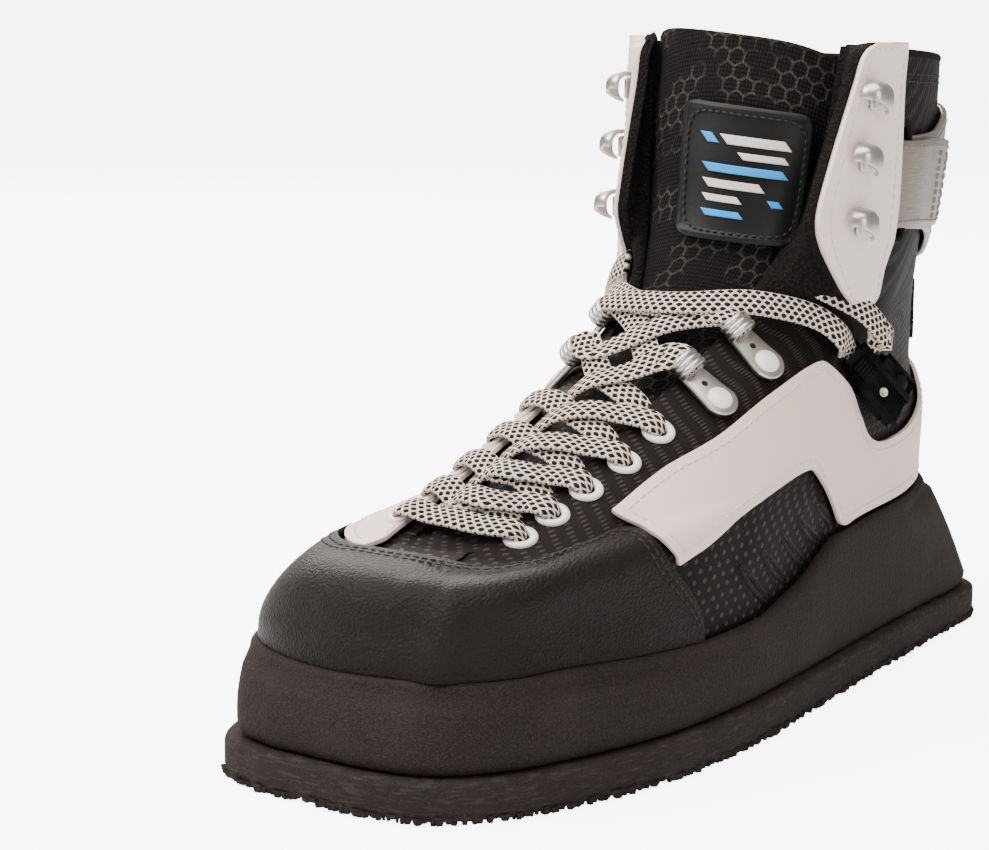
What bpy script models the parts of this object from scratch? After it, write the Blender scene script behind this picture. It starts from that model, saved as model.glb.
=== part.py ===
"""Left shooting shoe: flat rubber sole, laced leather upper with a stiff shaft and a heel strap.

Metres, +Z up, toe towards -Y, the wearer's left (outer side of this left shoe) at +X.
Sizes in the tables are millimetres and are turned into metres by MM.
"""
import math

import bmesh
import bpy
import numpy as np
from mathutils import Vector

MM = 0.001
GAP = 0.3                      # clearance between pieces that meet
SEAT = 1.25                    # height of an overlay's underside over the last, clear of the upper's facets
WALL = 2.4                     # leather and lining of the upper
LAYER = 1.3                    # leather of an overlay
OUTSOLE_HIGH = 11.0
SOLE_LEDGE = 3.0               # outsole standing out past the midsole
LIP_WIDE = 4.2                 # flat rim of the midsole around the upper
CUP_DEEP = 7.0                 # upper sunk below that rim
INSOLE_THICK = 4.0
TONGUE_THICK = 5.0
STRAP_THICK = 2.0
FLAP_THICK = 4.0
HOOK_RADIUS = 2.0
LACE_WIDE = 7.5
LACE_THICK = 1.4
END_SHARE = 0.002              # where the two halves of an outline meet at toe and heel
SIDES = (("lateral", 1), ("medial", -1))

# Plan of the outsole: distance along the shoe, then its reach to the outer and the inner side
SOLE_PLAN = (
    # y, lateral, medial
    (-152, 6, 24), (-148, 24, 38), (-138, 36, 46), (-120, 46, 51), (-80, 57, 54), (-40, 59, 52),
    (0, 56, 48), (50, 51, 45), (100, 47, 44), (130, 45, 43), (144, 41, 39), (150, 30, 28), (152, 10, 10),
)
# Height of the midsole's rim along the shoe
RIM = ((-152, 33.5), (-107, 34), (-79, 32.5), (-49, 32), (-20, 33), (3, 38), (28, 47), (62, 48), (110, 48.5),
       (132, 50), (152, 51))

# How far the midsole's side leans in below its rim, from upright (0) to the rim's own outline (1)
LEAN = ((-152, 0.35), (-60, 0.5), (20, 0.75), (152, 0.85))

# The last: tilted girth loops from the sole up to the collar.  Each runs from a point on the front
# line (toe, vamp, instep, shin) to one on the heel line, with half widths at fixed shares of its length.
SHARES = (0.05, 0.18, 0.35, 0.52, 0.68, 0.84, 0.95)
LOOPS = (
    # front y, z, back y, z, half widths at SHARES
    ("feather", -139, 28.6, 139, 44.6, (36, 45, 47, 43, 40, 35, 24)),
    ("toe_wall", -139, 42, 140, 60, (36, 45, 47, 43, 39, 35, 24)),
    ("toe_shoulder", -132, 54, 140, 76, (35, 44, 45, 42, 39, 35, 24)),
    ("throat_base", -104, 59, 139, 89, (26, 38, 42, 41, 38, 33, 21)),
    ("low_instep", -71, 73, 138, 101, (19, 32, 38, 40, 37, 31, 20)),
    ("instep", -35, 89, 137, 113, (17, 29, 37, 40, 37, 30, 19)),
    ("high_instep", 2, 110, 136, 125, (17, 29, 38, 40, 36, 29, 18)),
    ("ankle", 19, 132, 136, 138, (19, 32, 40, 41, 37, 29, 18)),
    ("shaft", 27, 162, 137, 162, (21, 35, 42, 42, 38, 31, 19)),
    ("collar", 33, 193, 135, 187, (22, 36, 42, 42, 39, 32, 20)),
)
# The inner side of the toe is rounder: how much narrower it is at SHARES, for the loops from toe_wall up
INNER_EASE = ((0, 0, 0), (2, 1.5, 0), (10, 8, 3), (7, 8, 4), (2, 3, 1), (0, 0, 0), (0, 0, 0), (0, 0, 0), (0, 0, 0), (0, 0, 0))
THROAT_LOOP = 3                # the throat opens above this loop
TOP_LOOP = len(LOOPS) - 1
BACK = len(SHARES) + 1         # girth parameter at the heel line
# Half width of the throat and shaft opening at each loop from THROAT_LOOP up
THROAT_WIDE = (13, 13, 14, 19, 27, 33, 35)
# Sideways bend of the last along the shoe: the toe turns towards the inner side
SWING = ((-150, -9), (-100, -6), (-77, -3), (-50, 1), (-20, 3), (10, 4), (60, 2), (110, 0), (150, 0))

# Toe cap: distance from the middle line, y and z of a point on its rear edge, and y of the same line's
# foot on the rim, for the outer and the inner side
CAP_EDGE = {
    1: ((26, -98, 57.8, -139), (33, -89, 59.6, -132), (37, -79, 62.8, -112), (36, -70, 64.5, -90),
        (41, -66, 58, -74), (45, -60, 50, -62), (47, -53, 40, -52)),
    -1: ((15, -102, 58.6, -139), (21, -98.5, 58.8, -135), (27.5, -92.5, 59.2, -124), (33, -85.5, 59.2, -108),
         (37, -78.5, 58.3, -92), (40, -71, 56.2, -76), (43.5, -63, 50, -63), (46, -54, 40, -53)),
}
# Quarter panel: lower edge y, z and upper edge y, z, from the front end to the heel
PANEL = (
    (-61, 54.5, -67, 67), (-41, 60, -46, 75), (-16, 66, -22, 82), (4, 69.5, 3, 91), (14, 69.5, 24, 98),
    (22, 64, 32, 98), (30, 56, 43, 90), (37, 49, 52, 80), (50, 49.2, 63, 71), (80, 49.6, 85, 70),
    (105, 50, 106, 73), (118, 50.6, 119, 78), (128, 51.2, 128, 86),
)
# On the inner side the panel reaches up to the throat: distance from the middle line, y and z of both edges
PANEL_FACING = (
    (17, -99.5, 58.9, 15.5, -97.5, 59.6), (22.5, -95.5, 59.1, 15.5, -88, 62.8), (28.5, -89.5, 59.5, 15.5, -79, 66.6),
    (34, -82.5, 59.3, 15.5, -70, 70.7), (38, -75.5, 57.9, 15.7, -58, 76), (41, -67, 55.7, 16, -50, 79.4),
    (43.5, -56, 56.5, 16.5, -42, 82.8), (44, -41, 60, 17, -34, 86.4), (43, -27, 63, 26, -22, 86.6),
    (42, -15, 66, 33, -10, 85),
)
PANEL_JOIN = 3                 # first row of PANEL used on the inner side
PANEL_HEEL = (52, 91)
# Heel strap: lower edge y, z and upper edge y, z
STRAP = ((64, 137, 64, 165), (80, 136, 80, 165), (97, 134, 97, 166), (114, 129, 114, 170), (127, 122, 127, 173))
STRAP_HEEL = (118, 175)
# Returned strap end: lower edge y, z, upper edge y, z and its height over the last
STRAP_RETURN = (
    (62, 138, 62, 164, 6.0), (72, 138, 72, 164, 6.1), (84, 137, 84, 164, 4.1), (98, 136, 102, 163, 3.6),
    (109, 136, 119, 161, 3.6),
)
TAPE = ((111.5, 136, 121, 161), (119, 136, 125, 162))
INSERT = ((128, 95, 128, 114), (134, 94, 134, 115.5))
INSERT_HEEL = (93, 116)
# Lace flap: height, front and rear edge along the shoe, then how far out its front and rear edges stand
FLAP = (
    (116, 44, 49, 45, 47), (123, 34, 51, 44.5, 48), (137, 25, 54, 44, 49.5), (154, 22, 55.5, 44, 49.5),
    (168, 25, 56, 45, 49.5), (182, 33, 58, 46, 49.5), (193, 45, 60, 47, 49.5),
)
FLAP_TURN = {1: 0, -1: 8}      # the inner flap's front edge lies closer to the shin
HOOKS = ((140, 37), (159, 38), (177, 42))                # z, y of each hook
EYELETS = ((-89, 20.5), (-77, 21), (-64, 21.5), (-49, 22.5), (-33, 23))   # y, distance from the middle line
LACE_RINGS = ((-9, 27), (12, 30))                        # the same for the rivet of each lace ring
LOCK_AT = (57, 91)                                       # y, z
LOCK_END = (44, 105)                                     # y, z where a lace reaches the lock
EYELET_LIFT = {1: 1.4, -1: 3.95}                         # eyelets over the last: on the upper, on the panel
RING_LIFT = 1.6                                          # height of a lace ring's mid plane over the last
LOCK_LIFT = 3.9                                          # the same for a lace lock
RING_BOX = (59, 68, 134, 169)                            # strap ring: y range, z range
BADGE = ((-0.35, 1.55), (7.1, 8.35))                     # girth and level range on the tongue

for old in list(bpy.data.objects):
    bpy.data.objects.remove(old, do_unlink=True)
shoe = bpy.data.collections.new("shooting_shoe")
bpy.context.scene.collection.children.link(shoe)


def paint(name, colour, roughness, metallic=0.0):
    """One Principled material."""
    material = bpy.data.materials.new(name)
    material.use_nodes = True
    shader = material.node_tree.nodes["Principled BSDF"]
    shader.inputs["Base Color"].default_value = (*colour, 1)
    shader.inputs["Roughness"].default_value = roughness
    shader.inputs["Metallic"].default_value = metallic
    return material


BLACK_LEATHER = paint("black_leather", (0.022, 0.018, 0.018), 0.5)
WHITE_LEATHER = paint("white_leather", (0.78, 0.72, 0.68), 0.5)
SILVER_STRAP = paint("silver_strap", (0.55, 0.5, 0.46), 0.4)
RUBBER = paint("sole_rubber", (0.05, 0.04, 0.037), 0.85)
MESH = paint("black_mesh", (0.012, 0.01, 0.011), 0.9)
METAL = paint("silver_metal", (0.49, 0.47, 0.45), 0.35, 1.0)
PLASTIC = paint("black_plastic", (0.015, 0.015, 0.016), 0.4)
ENAMEL = paint("white_enamel", (0.8, 0.77, 0.74), 0.25)
CORD = paint("lace_cord", (0.75, 0.66, 0.58), 0.8)


def smooth_row(points, t):
    """Value on the smooth curve through equally spaced points, at t from 0 to their last index."""
    k = int(min(max(math.floor(t), 0), len(points) - 2))
    f = t - k
    b, c = points[k], points[k + 1]
    a = points[k - 1] if k else 2 * b - c
    d = points[k + 2] if k + 2 < len(points) else 2 * c - b
    return 0.5 * (2 * b + (c - a) * f + (2 * a - 5 * b + 4 * c - d) * f * f + (3 * b - 3 * c + d - a) * f ** 3)


def along(table, y):
    """Height or shift read from a table of rows that start with y."""
    ys = [row[0] for row in table]
    return np.interp(y, ys, [row[1] for row in table])


LOOP_ROWS = np.array([[*row[1:5], *row[5]] for row in LOOPS], float)
EASE_ROWS = np.array([[*row, 0, 0, 0, 0] for row in INNER_EASE], float)


def girth(u, v, side):
    """Half width, y and z on a girth loop: u from 0 on the front line to BACK on the heel line."""
    row = smooth_row(LOOP_ROWS, v)
    front, back, wide = row[0:2], row[2:4], row[4:]
    if side < 0:
        wide = wide - smooth_row(EASE_ROWS, v)
    knots = np.array([[-wide[0], SHARES[0]], [0, 0], *zip(wide, SHARES), [0, 1], [-wide[-1], SHARES[-1]]])
    half, share = smooth_row(knots, u + 1)
    y, z = front + (back - front) * share
    wedge = along(RIM, y) - np.interp(y, (RIM[0][0], RIM[-1][0]), (RIM[0][1], RIM[-1][1]))
    return half, y, z + wedge * max(1 - v / 2.0, 0)


def last(u, v):
    """Point of the last in millimetres.  Below 0 and past BACK, u goes on along the inner side."""
    side = 1 if 0 <= u <= BACK else -1
    half, y, z = girth(-u if u < 0 else 2 * BACK - u if u > BACK else u, v, side)
    fade = np.interp(z, (60, 130), (1, 0))
    return np.array([side * half + along(SWING, y) * fade, y, z])


def lifted(u, v, lift=0.0):
    """Point of the last moved out along its normal."""
    h = 0.02
    around = last(u + h, v) - last(u - h, v)
    up = last(u, v + h) - last(u, max(v - h, 0))
    n = np.cross(around, up)
    return last(u, v) + n / np.linalg.norm(n) * lift


U_STEPS = np.linspace(0, BACK, 97)
V_STEPS = np.linspace(0, TOP_LOOP, 91)


def sampled(side):
    """Rows of x, y, z and signed half width over one side of the last."""
    rows = []
    for v in V_STEPS:
        line = []
        for u in U_STEPS:
            line.append((*last(u if side > 0 else -u, v), side * girth(u, v, side)[0]))
        rows.append(line)
    return np.array(rows)


SAMPLES = {side: sampled(side) for _, side in SIDES}


def find(side, axes, target, above=0.0):
    """Parameters of the last's point whose values on the two axes come nearest to target."""
    miss = ((SAMPLES[side][:, :, axes] - np.array(target)) ** 2).sum(axis=2)
    miss[V_STEPS < above] = 1e9
    j, i = np.unravel_index(miss.argmin(), miss.shape)
    j0, j1, i0, i1 = max(j - 1, 0), min(j + 1, len(V_STEPS) - 1), max(i - 1, 0), min(i + 1, len(U_STEPS) - 1)
    here = SAMPLES[side][j, i][axes]
    du = (SAMPLES[side][j, i1][axes] - SAMPLES[side][j, i0][axes]) / (U_STEPS[i1] - U_STEPS[i0])
    dv = (SAMPLES[side][j1, i][axes] - SAMPLES[side][j0, i][axes]) / (V_STEPS[j1] - V_STEPS[j0])
    slope = np.array([du, dv]).T
    step = np.linalg.lstsq(slope, np.array(target) - here, rcond=0.05)[0]
    step = np.clip(step, -0.1, 0.1)
    u = min(max(U_STEPS[i] + step[0], 0), BACK)
    v = min(max(V_STEPS[j] + step[1], above), TOP_LOOP)
    return (u if side > 0 else -u), v


def on_side(y, z, side):
    """Parameters of the point that shows at y, z from the side."""
    return find(side, [1, 2], (y, z))


def near(side, target):
    """Parameters of the point nearest to a distance from the middle line, y and z."""
    off, y, z = target
    return find(side, [3, 1, 2], (side * off, y, z))


def at_height(u, z):
    """Level parameter where the line of constant u reaches height z."""
    low, high = 0.0, float(TOP_LOOP)
    for _ in range(30):
        mid = (low + high) / 2
        if last(u, mid)[2] < z:
            low = mid
        else:
            high = mid
    return low


def throat_edge(v):
    """Girth parameter of the opening's edge at level v."""
    wide = smooth_row(np.array(THROAT_WIDE, float), max(v - THROAT_LOOP, 0))
    low, high = 0.0, 4.0
    for _ in range(30):
        mid = (low + high) / 2
        if girth(mid, v, 1)[0] < wide:
            low = mid
        else:
            high = mid
    return low


def add_mesh(name, bm, material):
    """A bmesh as a named object with smooth shading."""
    bmesh.ops.recalc_face_normals(bm, faces=bm.faces)
    mesh = bpy.data.meshes.new(name)
    bm.to_mesh(mesh)
    bm.free()
    mesh.materials.append(material)
    piece = bpy.data.objects.new(name, mesh)
    shoe.objects.link(piece)
    return piece


def sheet(name, outer, inner, material, closed=False):
    """Closed solid between two grids of points, rows of equal length, in millimetres."""
    bm = bmesh.new()
    layers = [[[bm.verts.new(Vector(p) * MM) for p in row] for row in grid] for grid in (outer, inner)]
    rows, columns = len(outer), len(outer[0])
    reach = columns if closed else columns - 1
    for grid in layers:
        for j in range(rows - 1):
            for i in range(reach):
                k = (i + 1) % columns
                bm.faces.new((grid[j][i], grid[j][k], grid[j + 1][k], grid[j + 1][i]))
    top, under = layers
    for j in (0, rows - 1):
        for i in range(reach):
            k = (i + 1) % columns
            bm.faces.new((top[j][i], top[j][k], under[j][k], under[j][i]))
    if not closed:
        for i in (0, columns - 1):
            for j in range(rows - 1):
                bm.faces.new((top[j][i], top[j + 1][i], under[j + 1][i], under[j][i]))
    return add_mesh(name, bm, material)


def refine(spots, rows, columns):
    """The same grid of parameters with more rows and columns."""
    spots = np.array(spots, float)
    for axis, count in ((0, rows), (1, columns)):
        old = np.arange(spots.shape[axis])
        new = np.linspace(0, old[-1], count)
        spots = np.apply_along_axis(lambda line: np.interp(new, old, line), axis, spots)
    return spots


def overlay(name, spots, lift, thick, material):
    """Layer cut from between two offsets of the last; spots is a grid of its parameters."""
    outer = [[lifted(*spot, lift + thick) for spot in row] for row in spots]
    inner = [[lifted(*spot, lift) for spot in row] for row in spots]
    return sheet(name, outer, inner, material)


def plan(fine=2):
    """Smooth rows of the sole plan, a few to each row of its table."""
    rows = np.array(SOLE_PLAN, float)
    return [smooth_row(rows, k / fine) for k in range(fine * (len(rows) - 1) + 1)]


def sole_ring(inset):
    """Outline of the sole plan drawn in by inset: toe to heel on the outer side and back on the inner."""
    reach = max((row[1] + row[2]) / 2 for row in SOLE_PLAN)
    length = SOLE_PLAN[-1][0]
    outer, inner = [], []
    for y, lateral, medial in plan():
        middle, half = (lateral - medial) / 2, (lateral + medial) / 2
        outer.append((middle + half * (1 - inset / reach), y * (1 - inset / length)))
        inner.append((middle - half * (1 - inset / reach), y * (1 - inset / length)))
    return outer + inner[::-1]


def last_ring(height, lift):
    """Outline of the last at a height worked out from y, moved out by lift, paired off as sole_ring is."""
    girths = np.linspace(0, BACK, 161)
    shares = [girth(u, 0.5, 1)[1] for u in girths]
    sides = []
    for _, side in SIDES:
        points = []
        for y, _, _ in plan():
            share = (y - SOLE_PLAN[0][0]) / (SOLE_PLAN[-1][0] - SOLE_PLAN[0][0])
            target = shares[0] + (shares[-1] - shares[0]) * min(max(share, END_SHARE), 1 - END_SHARE)
            u = side * np.interp(target, shares, girths)
            low, high = 0.0, 2.5
            for _ in range(30):
                mid = (low + high) / 2
                point = last(u, mid)
                if point[2] < height(point[1]):
                    low = mid
                else:
                    high = mid
            points.append(lifted(u, low, lift)[:2])
        sides.append(points)
    return sides[0] + sides[1][::-1]


def ladder(name, rings, material):
    """Solid from stacked outlines that pair off across the shoe; first and last are closed by rungs."""
    bm = bmesh.new()
    loops = [[bm.verts.new(Vector(p) * MM) for p in ring] for ring in rings]
    count = len(rings[0])
    for lower, upper in zip(loops, loops[1:]):
        for i in range(count):
            k = (i + 1) % count
            bm.faces.new((lower[i], lower[k], upper[k], upper[i]))
    for loop in (loops[0], loops[-1]):
        for i in range(count // 2 - 1):
            bm.faces.new((loop[i], loop[i + 1], loop[count - 2 - i], loop[count - 1 - i]))
    return add_mesh(name, bm, material)


def mixed(ring, other, shares):
    """Outline part of the way from one to another, by a table of y and share."""
    points = []
    for a, b in zip(ring, other):
        share = along(shares, a[1])
        points.append(tuple(np.array(a) * (1 - share) + np.array(b) * share))
    return points


def level(ring, height):
    """Outline at a height, or at a height worked out from y."""
    return [(x, y, height(y) if callable(height) else height) for x, y in ring]


def rim(y):
    return along(RIM, y)


def cup_floor(y):
    return along(RIM, y) - CUP_DEEP


def build_sole():
    """Outsole slab, the cup midsole whose rim holds the upper, and the insole in it."""
    ladder("outsole", [
        level(sole_ring(1.0), 0), level(sole_ring(0), 1.5), level(sole_ring(0), OUTSOLE_HIGH - 1),
        level(sole_ring(1.0), OUTSOLE_HIGH),
    ], RUBBER)
    foot = OUTSOLE_HIGH + GAP
    seat = last_ring(rim, 1.1)
    ladder("midsole", [
        level(sole_ring(SOLE_LEDGE + 1.5), foot),
        level(sole_ring(SOLE_LEDGE), foot + 5),
        level(mixed(sole_ring(SOLE_LEDGE + 0.8), last_ring(rim, LIP_WIDE + 1.5), LEAN), lambda y: rim(y) - 5),
        level(last_ring(rim, LIP_WIDE), rim),
        level(seat, rim),
        level(last_ring(cup_floor, 1.1), cup_floor),
    ], RUBBER)
    bed = last_ring(lambda y: rim(y) - 1, -WALL - 1.2)
    ladder("insole", [
        level(bed, lambda y: cup_floor(y) + GAP), level(bed, lambda y: cup_floor(y) + GAP + INSOLE_THICK),
    ], MESH)


def crowd(t):
    """Share of the way round with the columns drawn together towards both ends."""
    return t - 0.08 * math.sin(2 * math.pi * t)


def build_upper():
    """Hollow wall of the last, open below and along the throat and collar."""
    front, quarter, rows_low, rows_high = 4, 18, 9, 11
    rows = [THROAT_LOOP * j / rows_low for j in range(rows_low)]
    rows += [THROAT_LOOP + (TOP_LOOP - THROAT_LOOP) * j / rows_high for j in range(rows_high + 1)]
    end = front + quarter
    columns = list(range(-end + 1, end + 1))
    bm = bmesh.new()
    grids = []
    for lift in (0.0, -WALL):
        grid = []
        for v in rows:
            edge = throat_edge(max(v, THROAT_LOOP))
            line = {}
            for column in columns:
                k = abs(column) - front
                if k < 0 and v > THROAT_LOOP:
                    continue
                u = edge + (BACK - edge) * crowd(k / quarter) if k >= 0 else edge * abs(column) / front
                line[column] = bm.verts.new(Vector(lifted(math.copysign(u, column), v, lift)) * MM)
            grid.append(line)
        grids.append(grid)

    def after(column):
        return column + 1 if column < end else -end + 1

    for grid in grids:
        for low, high in zip(grid, grid[1:]):
            for column in columns:
                corners = [line.get(c) for line, c in ((low, column), (low, after(column)), (high, after(column)),
                                                       (high, column))]
                if None not in corners:
                    bm.faces.new(corners)
    outer, inner = grids
    for column in columns:
        near, far = column, after(column)
        bm.faces.new([outer[0][near], outer[0][far], inner[0][far], inner[0][near]])
        j = rows_low if min(abs(near), abs(far)) < front else len(rows) - 1
        bm.faces.new([outer[j][near], outer[j][far], inner[j][far], inner[j][near]])
    for j in range(rows_low, len(rows) - 1):
        for column in (front, -front):
            bm.faces.new([outer[j][column], outer[j + 1][column], inner[j + 1][column], inner[j][column]])
    return add_mesh("upper", bm, BLACK_LEATHER)


def between(row, t, side):
    """Parameters between a row's lower and upper edge as seen from the side."""
    return on_side(row[0] + (row[2] - row[0]) * t, row[1] + (row[3] - row[1]) * t, side)


def round_heel(rows, heel, steps, facing=(), join=0):
    """Grid of parameters from the outer side round the heel to the inner side, where facing rows come first."""
    grid = []
    for t in steps:
        outer = [between(row, t, 1) for row in rows]
        inner = [near(-1, np.array(row[:3]) * (1 - t) + np.array(row[3:]) * t) for row in facing]
        inner += [between(row, t, -1) for row in rows[join:]]
        middle = (BACK, at_height(BACK, heel[0] + (heel[1] - heel[0]) * t))
        grid.append(outer + [middle] + [(2 * BACK + u, v) for u, v in inner[::-1]])
    return grid


def build_overlays():
    """Toe cap, quarter panel, heel insert and pull loop, each a layer over the upper."""
    edge = throat_edge(THROAT_LOOP)
    low, high = 0.75, THROAT_LOOP - 0.12
    grid = []
    for t in np.linspace(0, 1, 7):
        halves = []
        for _, side in SIDES:
            half = [(side * edge * k / 2, low + (high - low) * t) for k in (0, 1, 2)]
            for off, y, z, foot_y in CAP_EDGE[side]:
                top = near(side, (off, y, z))
                foot = on_side(foot_y, rim(foot_y) + 1.2, side)
                half.append((foot[0] + (top[0] - foot[0]) * t, foot[1] + (top[1] - foot[1]) * t))
            halves.append(half)
        grid.append(halves[0][::-1] + halves[1][1:])
    overlay("toe_cap", refine(grid, 9, 35), SEAT + GAP, LAYER, BLACK_LEATHER)
    overlay("quarter_panel", refine(round_heel(PANEL, PANEL_HEEL, (0, 0.33, 0.67, 1), PANEL_FACING, PANEL_JOIN), 6, 57), SEAT, LAYER,
            WHITE_LEATHER)
    overlay("heel_insert", refine(round_heel(INSERT, INSERT_HEEL, (0, 0.5, 1)), 3, 9), SEAT, LAYER, MESH)
    tab = [[(BACK + turn, at_height(BACK + turn, z)) for turn in (-0.28, -0.14, 0, 0.14, 0.28)] for z in (92, 98, 104, 111)]
    overlay("pull_loop", tab, SEAT + LAYER + GAP, 2.4, WHITE_LEATHER)


def build_tongue():
    """Padded tongue behind the throat and the rubber badge on its upper part."""
    grid = []
    for v in np.linspace(THROAT_LOOP - 0.1, TOP_LOOP + 0.06, 12):
        reach = 1.2 * throat_edge(min(max(v, THROAT_LOOP), TOP_LOOP)) + 0.12
        grid.append([(reach * (1 - k / 4), v) for k in range(9)])
    overlay("tongue", grid, -(WALL + 3 * GAP + TONGUE_THICK), TONGUE_THICK, MESH)
    girths, levels = BADGE
    grid = [[(u, v) for u in np.linspace(girths[1], girths[0], 7)] for v in np.linspace(*levels, 5)]
    overlay("tongue_badge", grid, -(WALL + GAP) + 0.3, 2.2, PLASTIC)


def build_strap():
    """Heel strap, its two returned ends, the hook tape patches and the wire rings they run through."""
    overlay("heel_strap", refine(round_heel(STRAP, STRAP_HEEL, (0, 0.33, 0.67, 1)), 4, 36), SEAT, STRAP_THICK,
            SILVER_STRAP)
    over_strap = SEAT + GAP + STRAP_THICK
    y0, y1, z0, z1 = RING_BOX
    round_off = 3
    corners = ((y0, z0 + round_off), (y0, z1 - round_off), (y0 + round_off, z1), (y1 - round_off, z1),
               (y1, z1 - round_off), (y1, z0 + round_off), (y1 - round_off, z0), (y0 + round_off, z0))
    for name, side in SIDES:
        rows = refine([[(*between(row, t, side), row[4]) for row in STRAP_RETURN] for t in (0, 0.5, 1)], 3, 11)
        layers = [[[lifted(u, v, lift + thick) for u, v, lift in row] for row in rows] for thick in (STRAP_THICK, 0)]
        sheet("strap_end_" + name, *layers, SILVER_STRAP)
        tape = refine([[between(row, t, side) for row in TAPE] for t in (0, 0.5, 1)], 4, 4)
        overlay("hook_tape_" + name, tape, over_strap, 0.8, MESH)
        radius = 1.2
        wire("strap_ring_" + name, [lifted(*on_side(y, z, side), over_strap + radius) for y, z in corners], radius,
             PLASTIC, cyclic=True)


def wire(name, points, radius, material, cyclic=False, sides=1):
    """Round wire through points in millimetres."""
    curve = bpy.data.curves.new(name, "CURVE")
    curve.dimensions = "3D"
    curve.bevel_depth = radius * MM
    curve.bevel_resolution = sides
    curve.use_fill_caps = True
    spline = curve.splines.new("POLY")
    spline.points.add(len(points) - 1)
    spline.use_cyclic_u = cyclic
    for spot, point in zip(spline.points, points):
        spot.co = (*(np.array(point) * MM), 1)
    curve.materials.append(material)
    piece = bpy.data.objects.new(name, curve)
    shoe.objects.link(piece)
    return piece


def flap_reach(z, y, side):
    """How far out a flap's outer face stands at z and y."""
    heights = [row[0] for row in FLAP]
    front, rear, front_x, rear_x = (np.interp(z, heights, [row[k] for row in FLAP]) for k in (1, 2, 3, 4))
    return np.interp(y, (front, rear), (front_x - FLAP_TURN[side], rear_x))


def build_flaps():
    """Stiff lace flaps on both sides of the shin, each with three open hooks."""
    for name, side in SIDES:
        outer, inner = [], []
        for z, front, rear, _, _ in FLAP:
            line_out, line_in = [], []
            for t in (0, 0.25, 0.5, 0.75, 1):
                y = front + (rear - front) * t
                backed = abs(lifted(*on_side(y, z, side), SEAT)[0])
                x = max(flap_reach(z, y, side), backed + 2)
                thick = x - backed if t == 1 else min(FLAP_THICK, x - backed)
                line_out.append((side * x, y, z))
                line_in.append((side * (x - thick), y, z))
            outer.append(line_out)
            inner.append(line_in)
        sheet("hook_flap_" + name, outer, inner, WHITE_LEATHER)
        for number, (z, y) in enumerate(HOOKS, 1):
            x = flap_reach(z, y, side) + HOOK_RADIUS + GAP
            path = [(x + 0.6, y + 3, z - 1), (x + 2, y, z), (x + 4, y - 4, z + 1), (x + 6, y - 3.5, z + 4),
                    (x + 6.5, y, z + 6)]
            wire("lace_hook_%s_%d" % (name, number), [(side * a, b, c) for a, b, c in path], HOOK_RADIUS, METAL)


def frame_at(spot, lift):
    """Point and outward normal of the last, in millimetres."""
    point = lifted(*spot, lift)
    return point, lifted(*spot, lift + 1) - point


def build_eyelets():
    """Eyelets and lace rings along the facings, and the lace locks at the ankle."""
    for name, side in SIDES:
        for number, (y, off) in enumerate(EYELETS, 1):
            point, normal = frame_at(find(side, [3, 1], (side * off, y), THROAT_LOOP), EYELET_LIFT[side])
            bpy.ops.mesh.primitive_torus_add(major_segments=9, minor_segments=4, major_radius=3.8 * MM,
                                             minor_radius=1.0 * MM, location=Vector(point) * MM,
                                             rotation=Vector(normal).to_track_quat("Z", "Y").to_euler())
            adopt("eyelet_%s_%d" % (name, number), ENAMEL)
        for number, (y, off) in enumerate(LACE_RINGS, 1):
            point, normal = frame_at(find(side, [3, 1], (side * off, y), THROAT_LOOP), RING_LIFT)
            lace_ring("lace_ring_%s_%d" % (name, number), point, normal, side)
        point, normal = frame_at(on_side(*LOCK_AT, side), LOCK_LIFT)
        bpy.ops.mesh.primitive_cube_add(size=1, location=Vector(point) * MM)
        lock = adopt("lace_lock_" + name, PLASTIC)
        normal = Vector(normal).normalized()
        slope = Vector((0, -0.55, 0.83))
        long_way = (slope - normal * slope.dot(normal)).normalized()
        wide = normal.cross(long_way)
        for vert in lock.data.vertices:
            c = vert.co.copy()
            vert.co = (long_way * c.x * 28 + wide * c.y * 12 + normal * c.z * 5) * MM
        bevel = lock.modifiers.new("round", "BEVEL")
        bevel.width = 1.5 * MM
        bevel.segments = 1


def adopt(name, material):
    """The primitive just added, named and moved into the shoe's collection."""
    piece = bpy.context.object
    piece.name = name
    piece.data.name = name
    piece.data.materials.append(material)
    for owner in list(piece.users_collection):
        owner.objects.unlink(piece)
    shoe.objects.link(piece)
    return piece


def lace_ring(name, point, normal, side):
    """Flat metal drop with an eye at its head, riveted beside the throat."""
    normal = Vector(normal).normalized()
    up = Vector((-side * 0.75, -0.1, 0.6))
    up = (up - normal * up.dot(normal)).normalized()
    wide = up.cross(normal)
    head, eye, foot, rise, half = 4.3, 1.9, 3.3, 11.5, 1.0
    outline = []
    for angle in range(-30, 211, 30):
        outline.append((head, rise, math.radians(angle)))
    for angle in range(210, 331, 30):
        outline.append((foot, -1.0, math.radians(angle)))
    bm = bmesh.new()
    rings = []
    for height in (half, -half):
        outer, inner = [], []
        for k, (radius, centre, angle) in enumerate(outline):
            outer.append(bm.verts.new((Vector(point) + wide * radius * math.cos(angle)
                                       + up * (centre + radius * math.sin(angle)) + normal * height) * MM))
            turn = math.radians(-30 + 360 * k / len(outline))
            inner.append(bm.verts.new((Vector(point) + wide * eye * math.cos(turn)
                                       + up * (rise + eye * math.sin(turn)) + normal * height) * MM))
        rings.append((outer, inner))
    (outer_top, inner_top), (outer_low, inner_low) = rings
    for i in range(len(outline)):
        k = (i + 1) % len(outline)
        for a, b in ((outer_top, inner_top), (outer_low, inner_low), (outer_top, outer_low), (inner_top, inner_low)):
            bm.faces.new((a[i], a[k], b[k], b[i]))
    return add_mesh(name, bm, METAL)


def over_throat(off, y):
    """Parameters of the last at a distance from the middle line, where the laces cross."""
    return find(1 if off >= 0 else -1, [3, 1], (off, y), THROAT_LOOP - 0.2)


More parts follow.
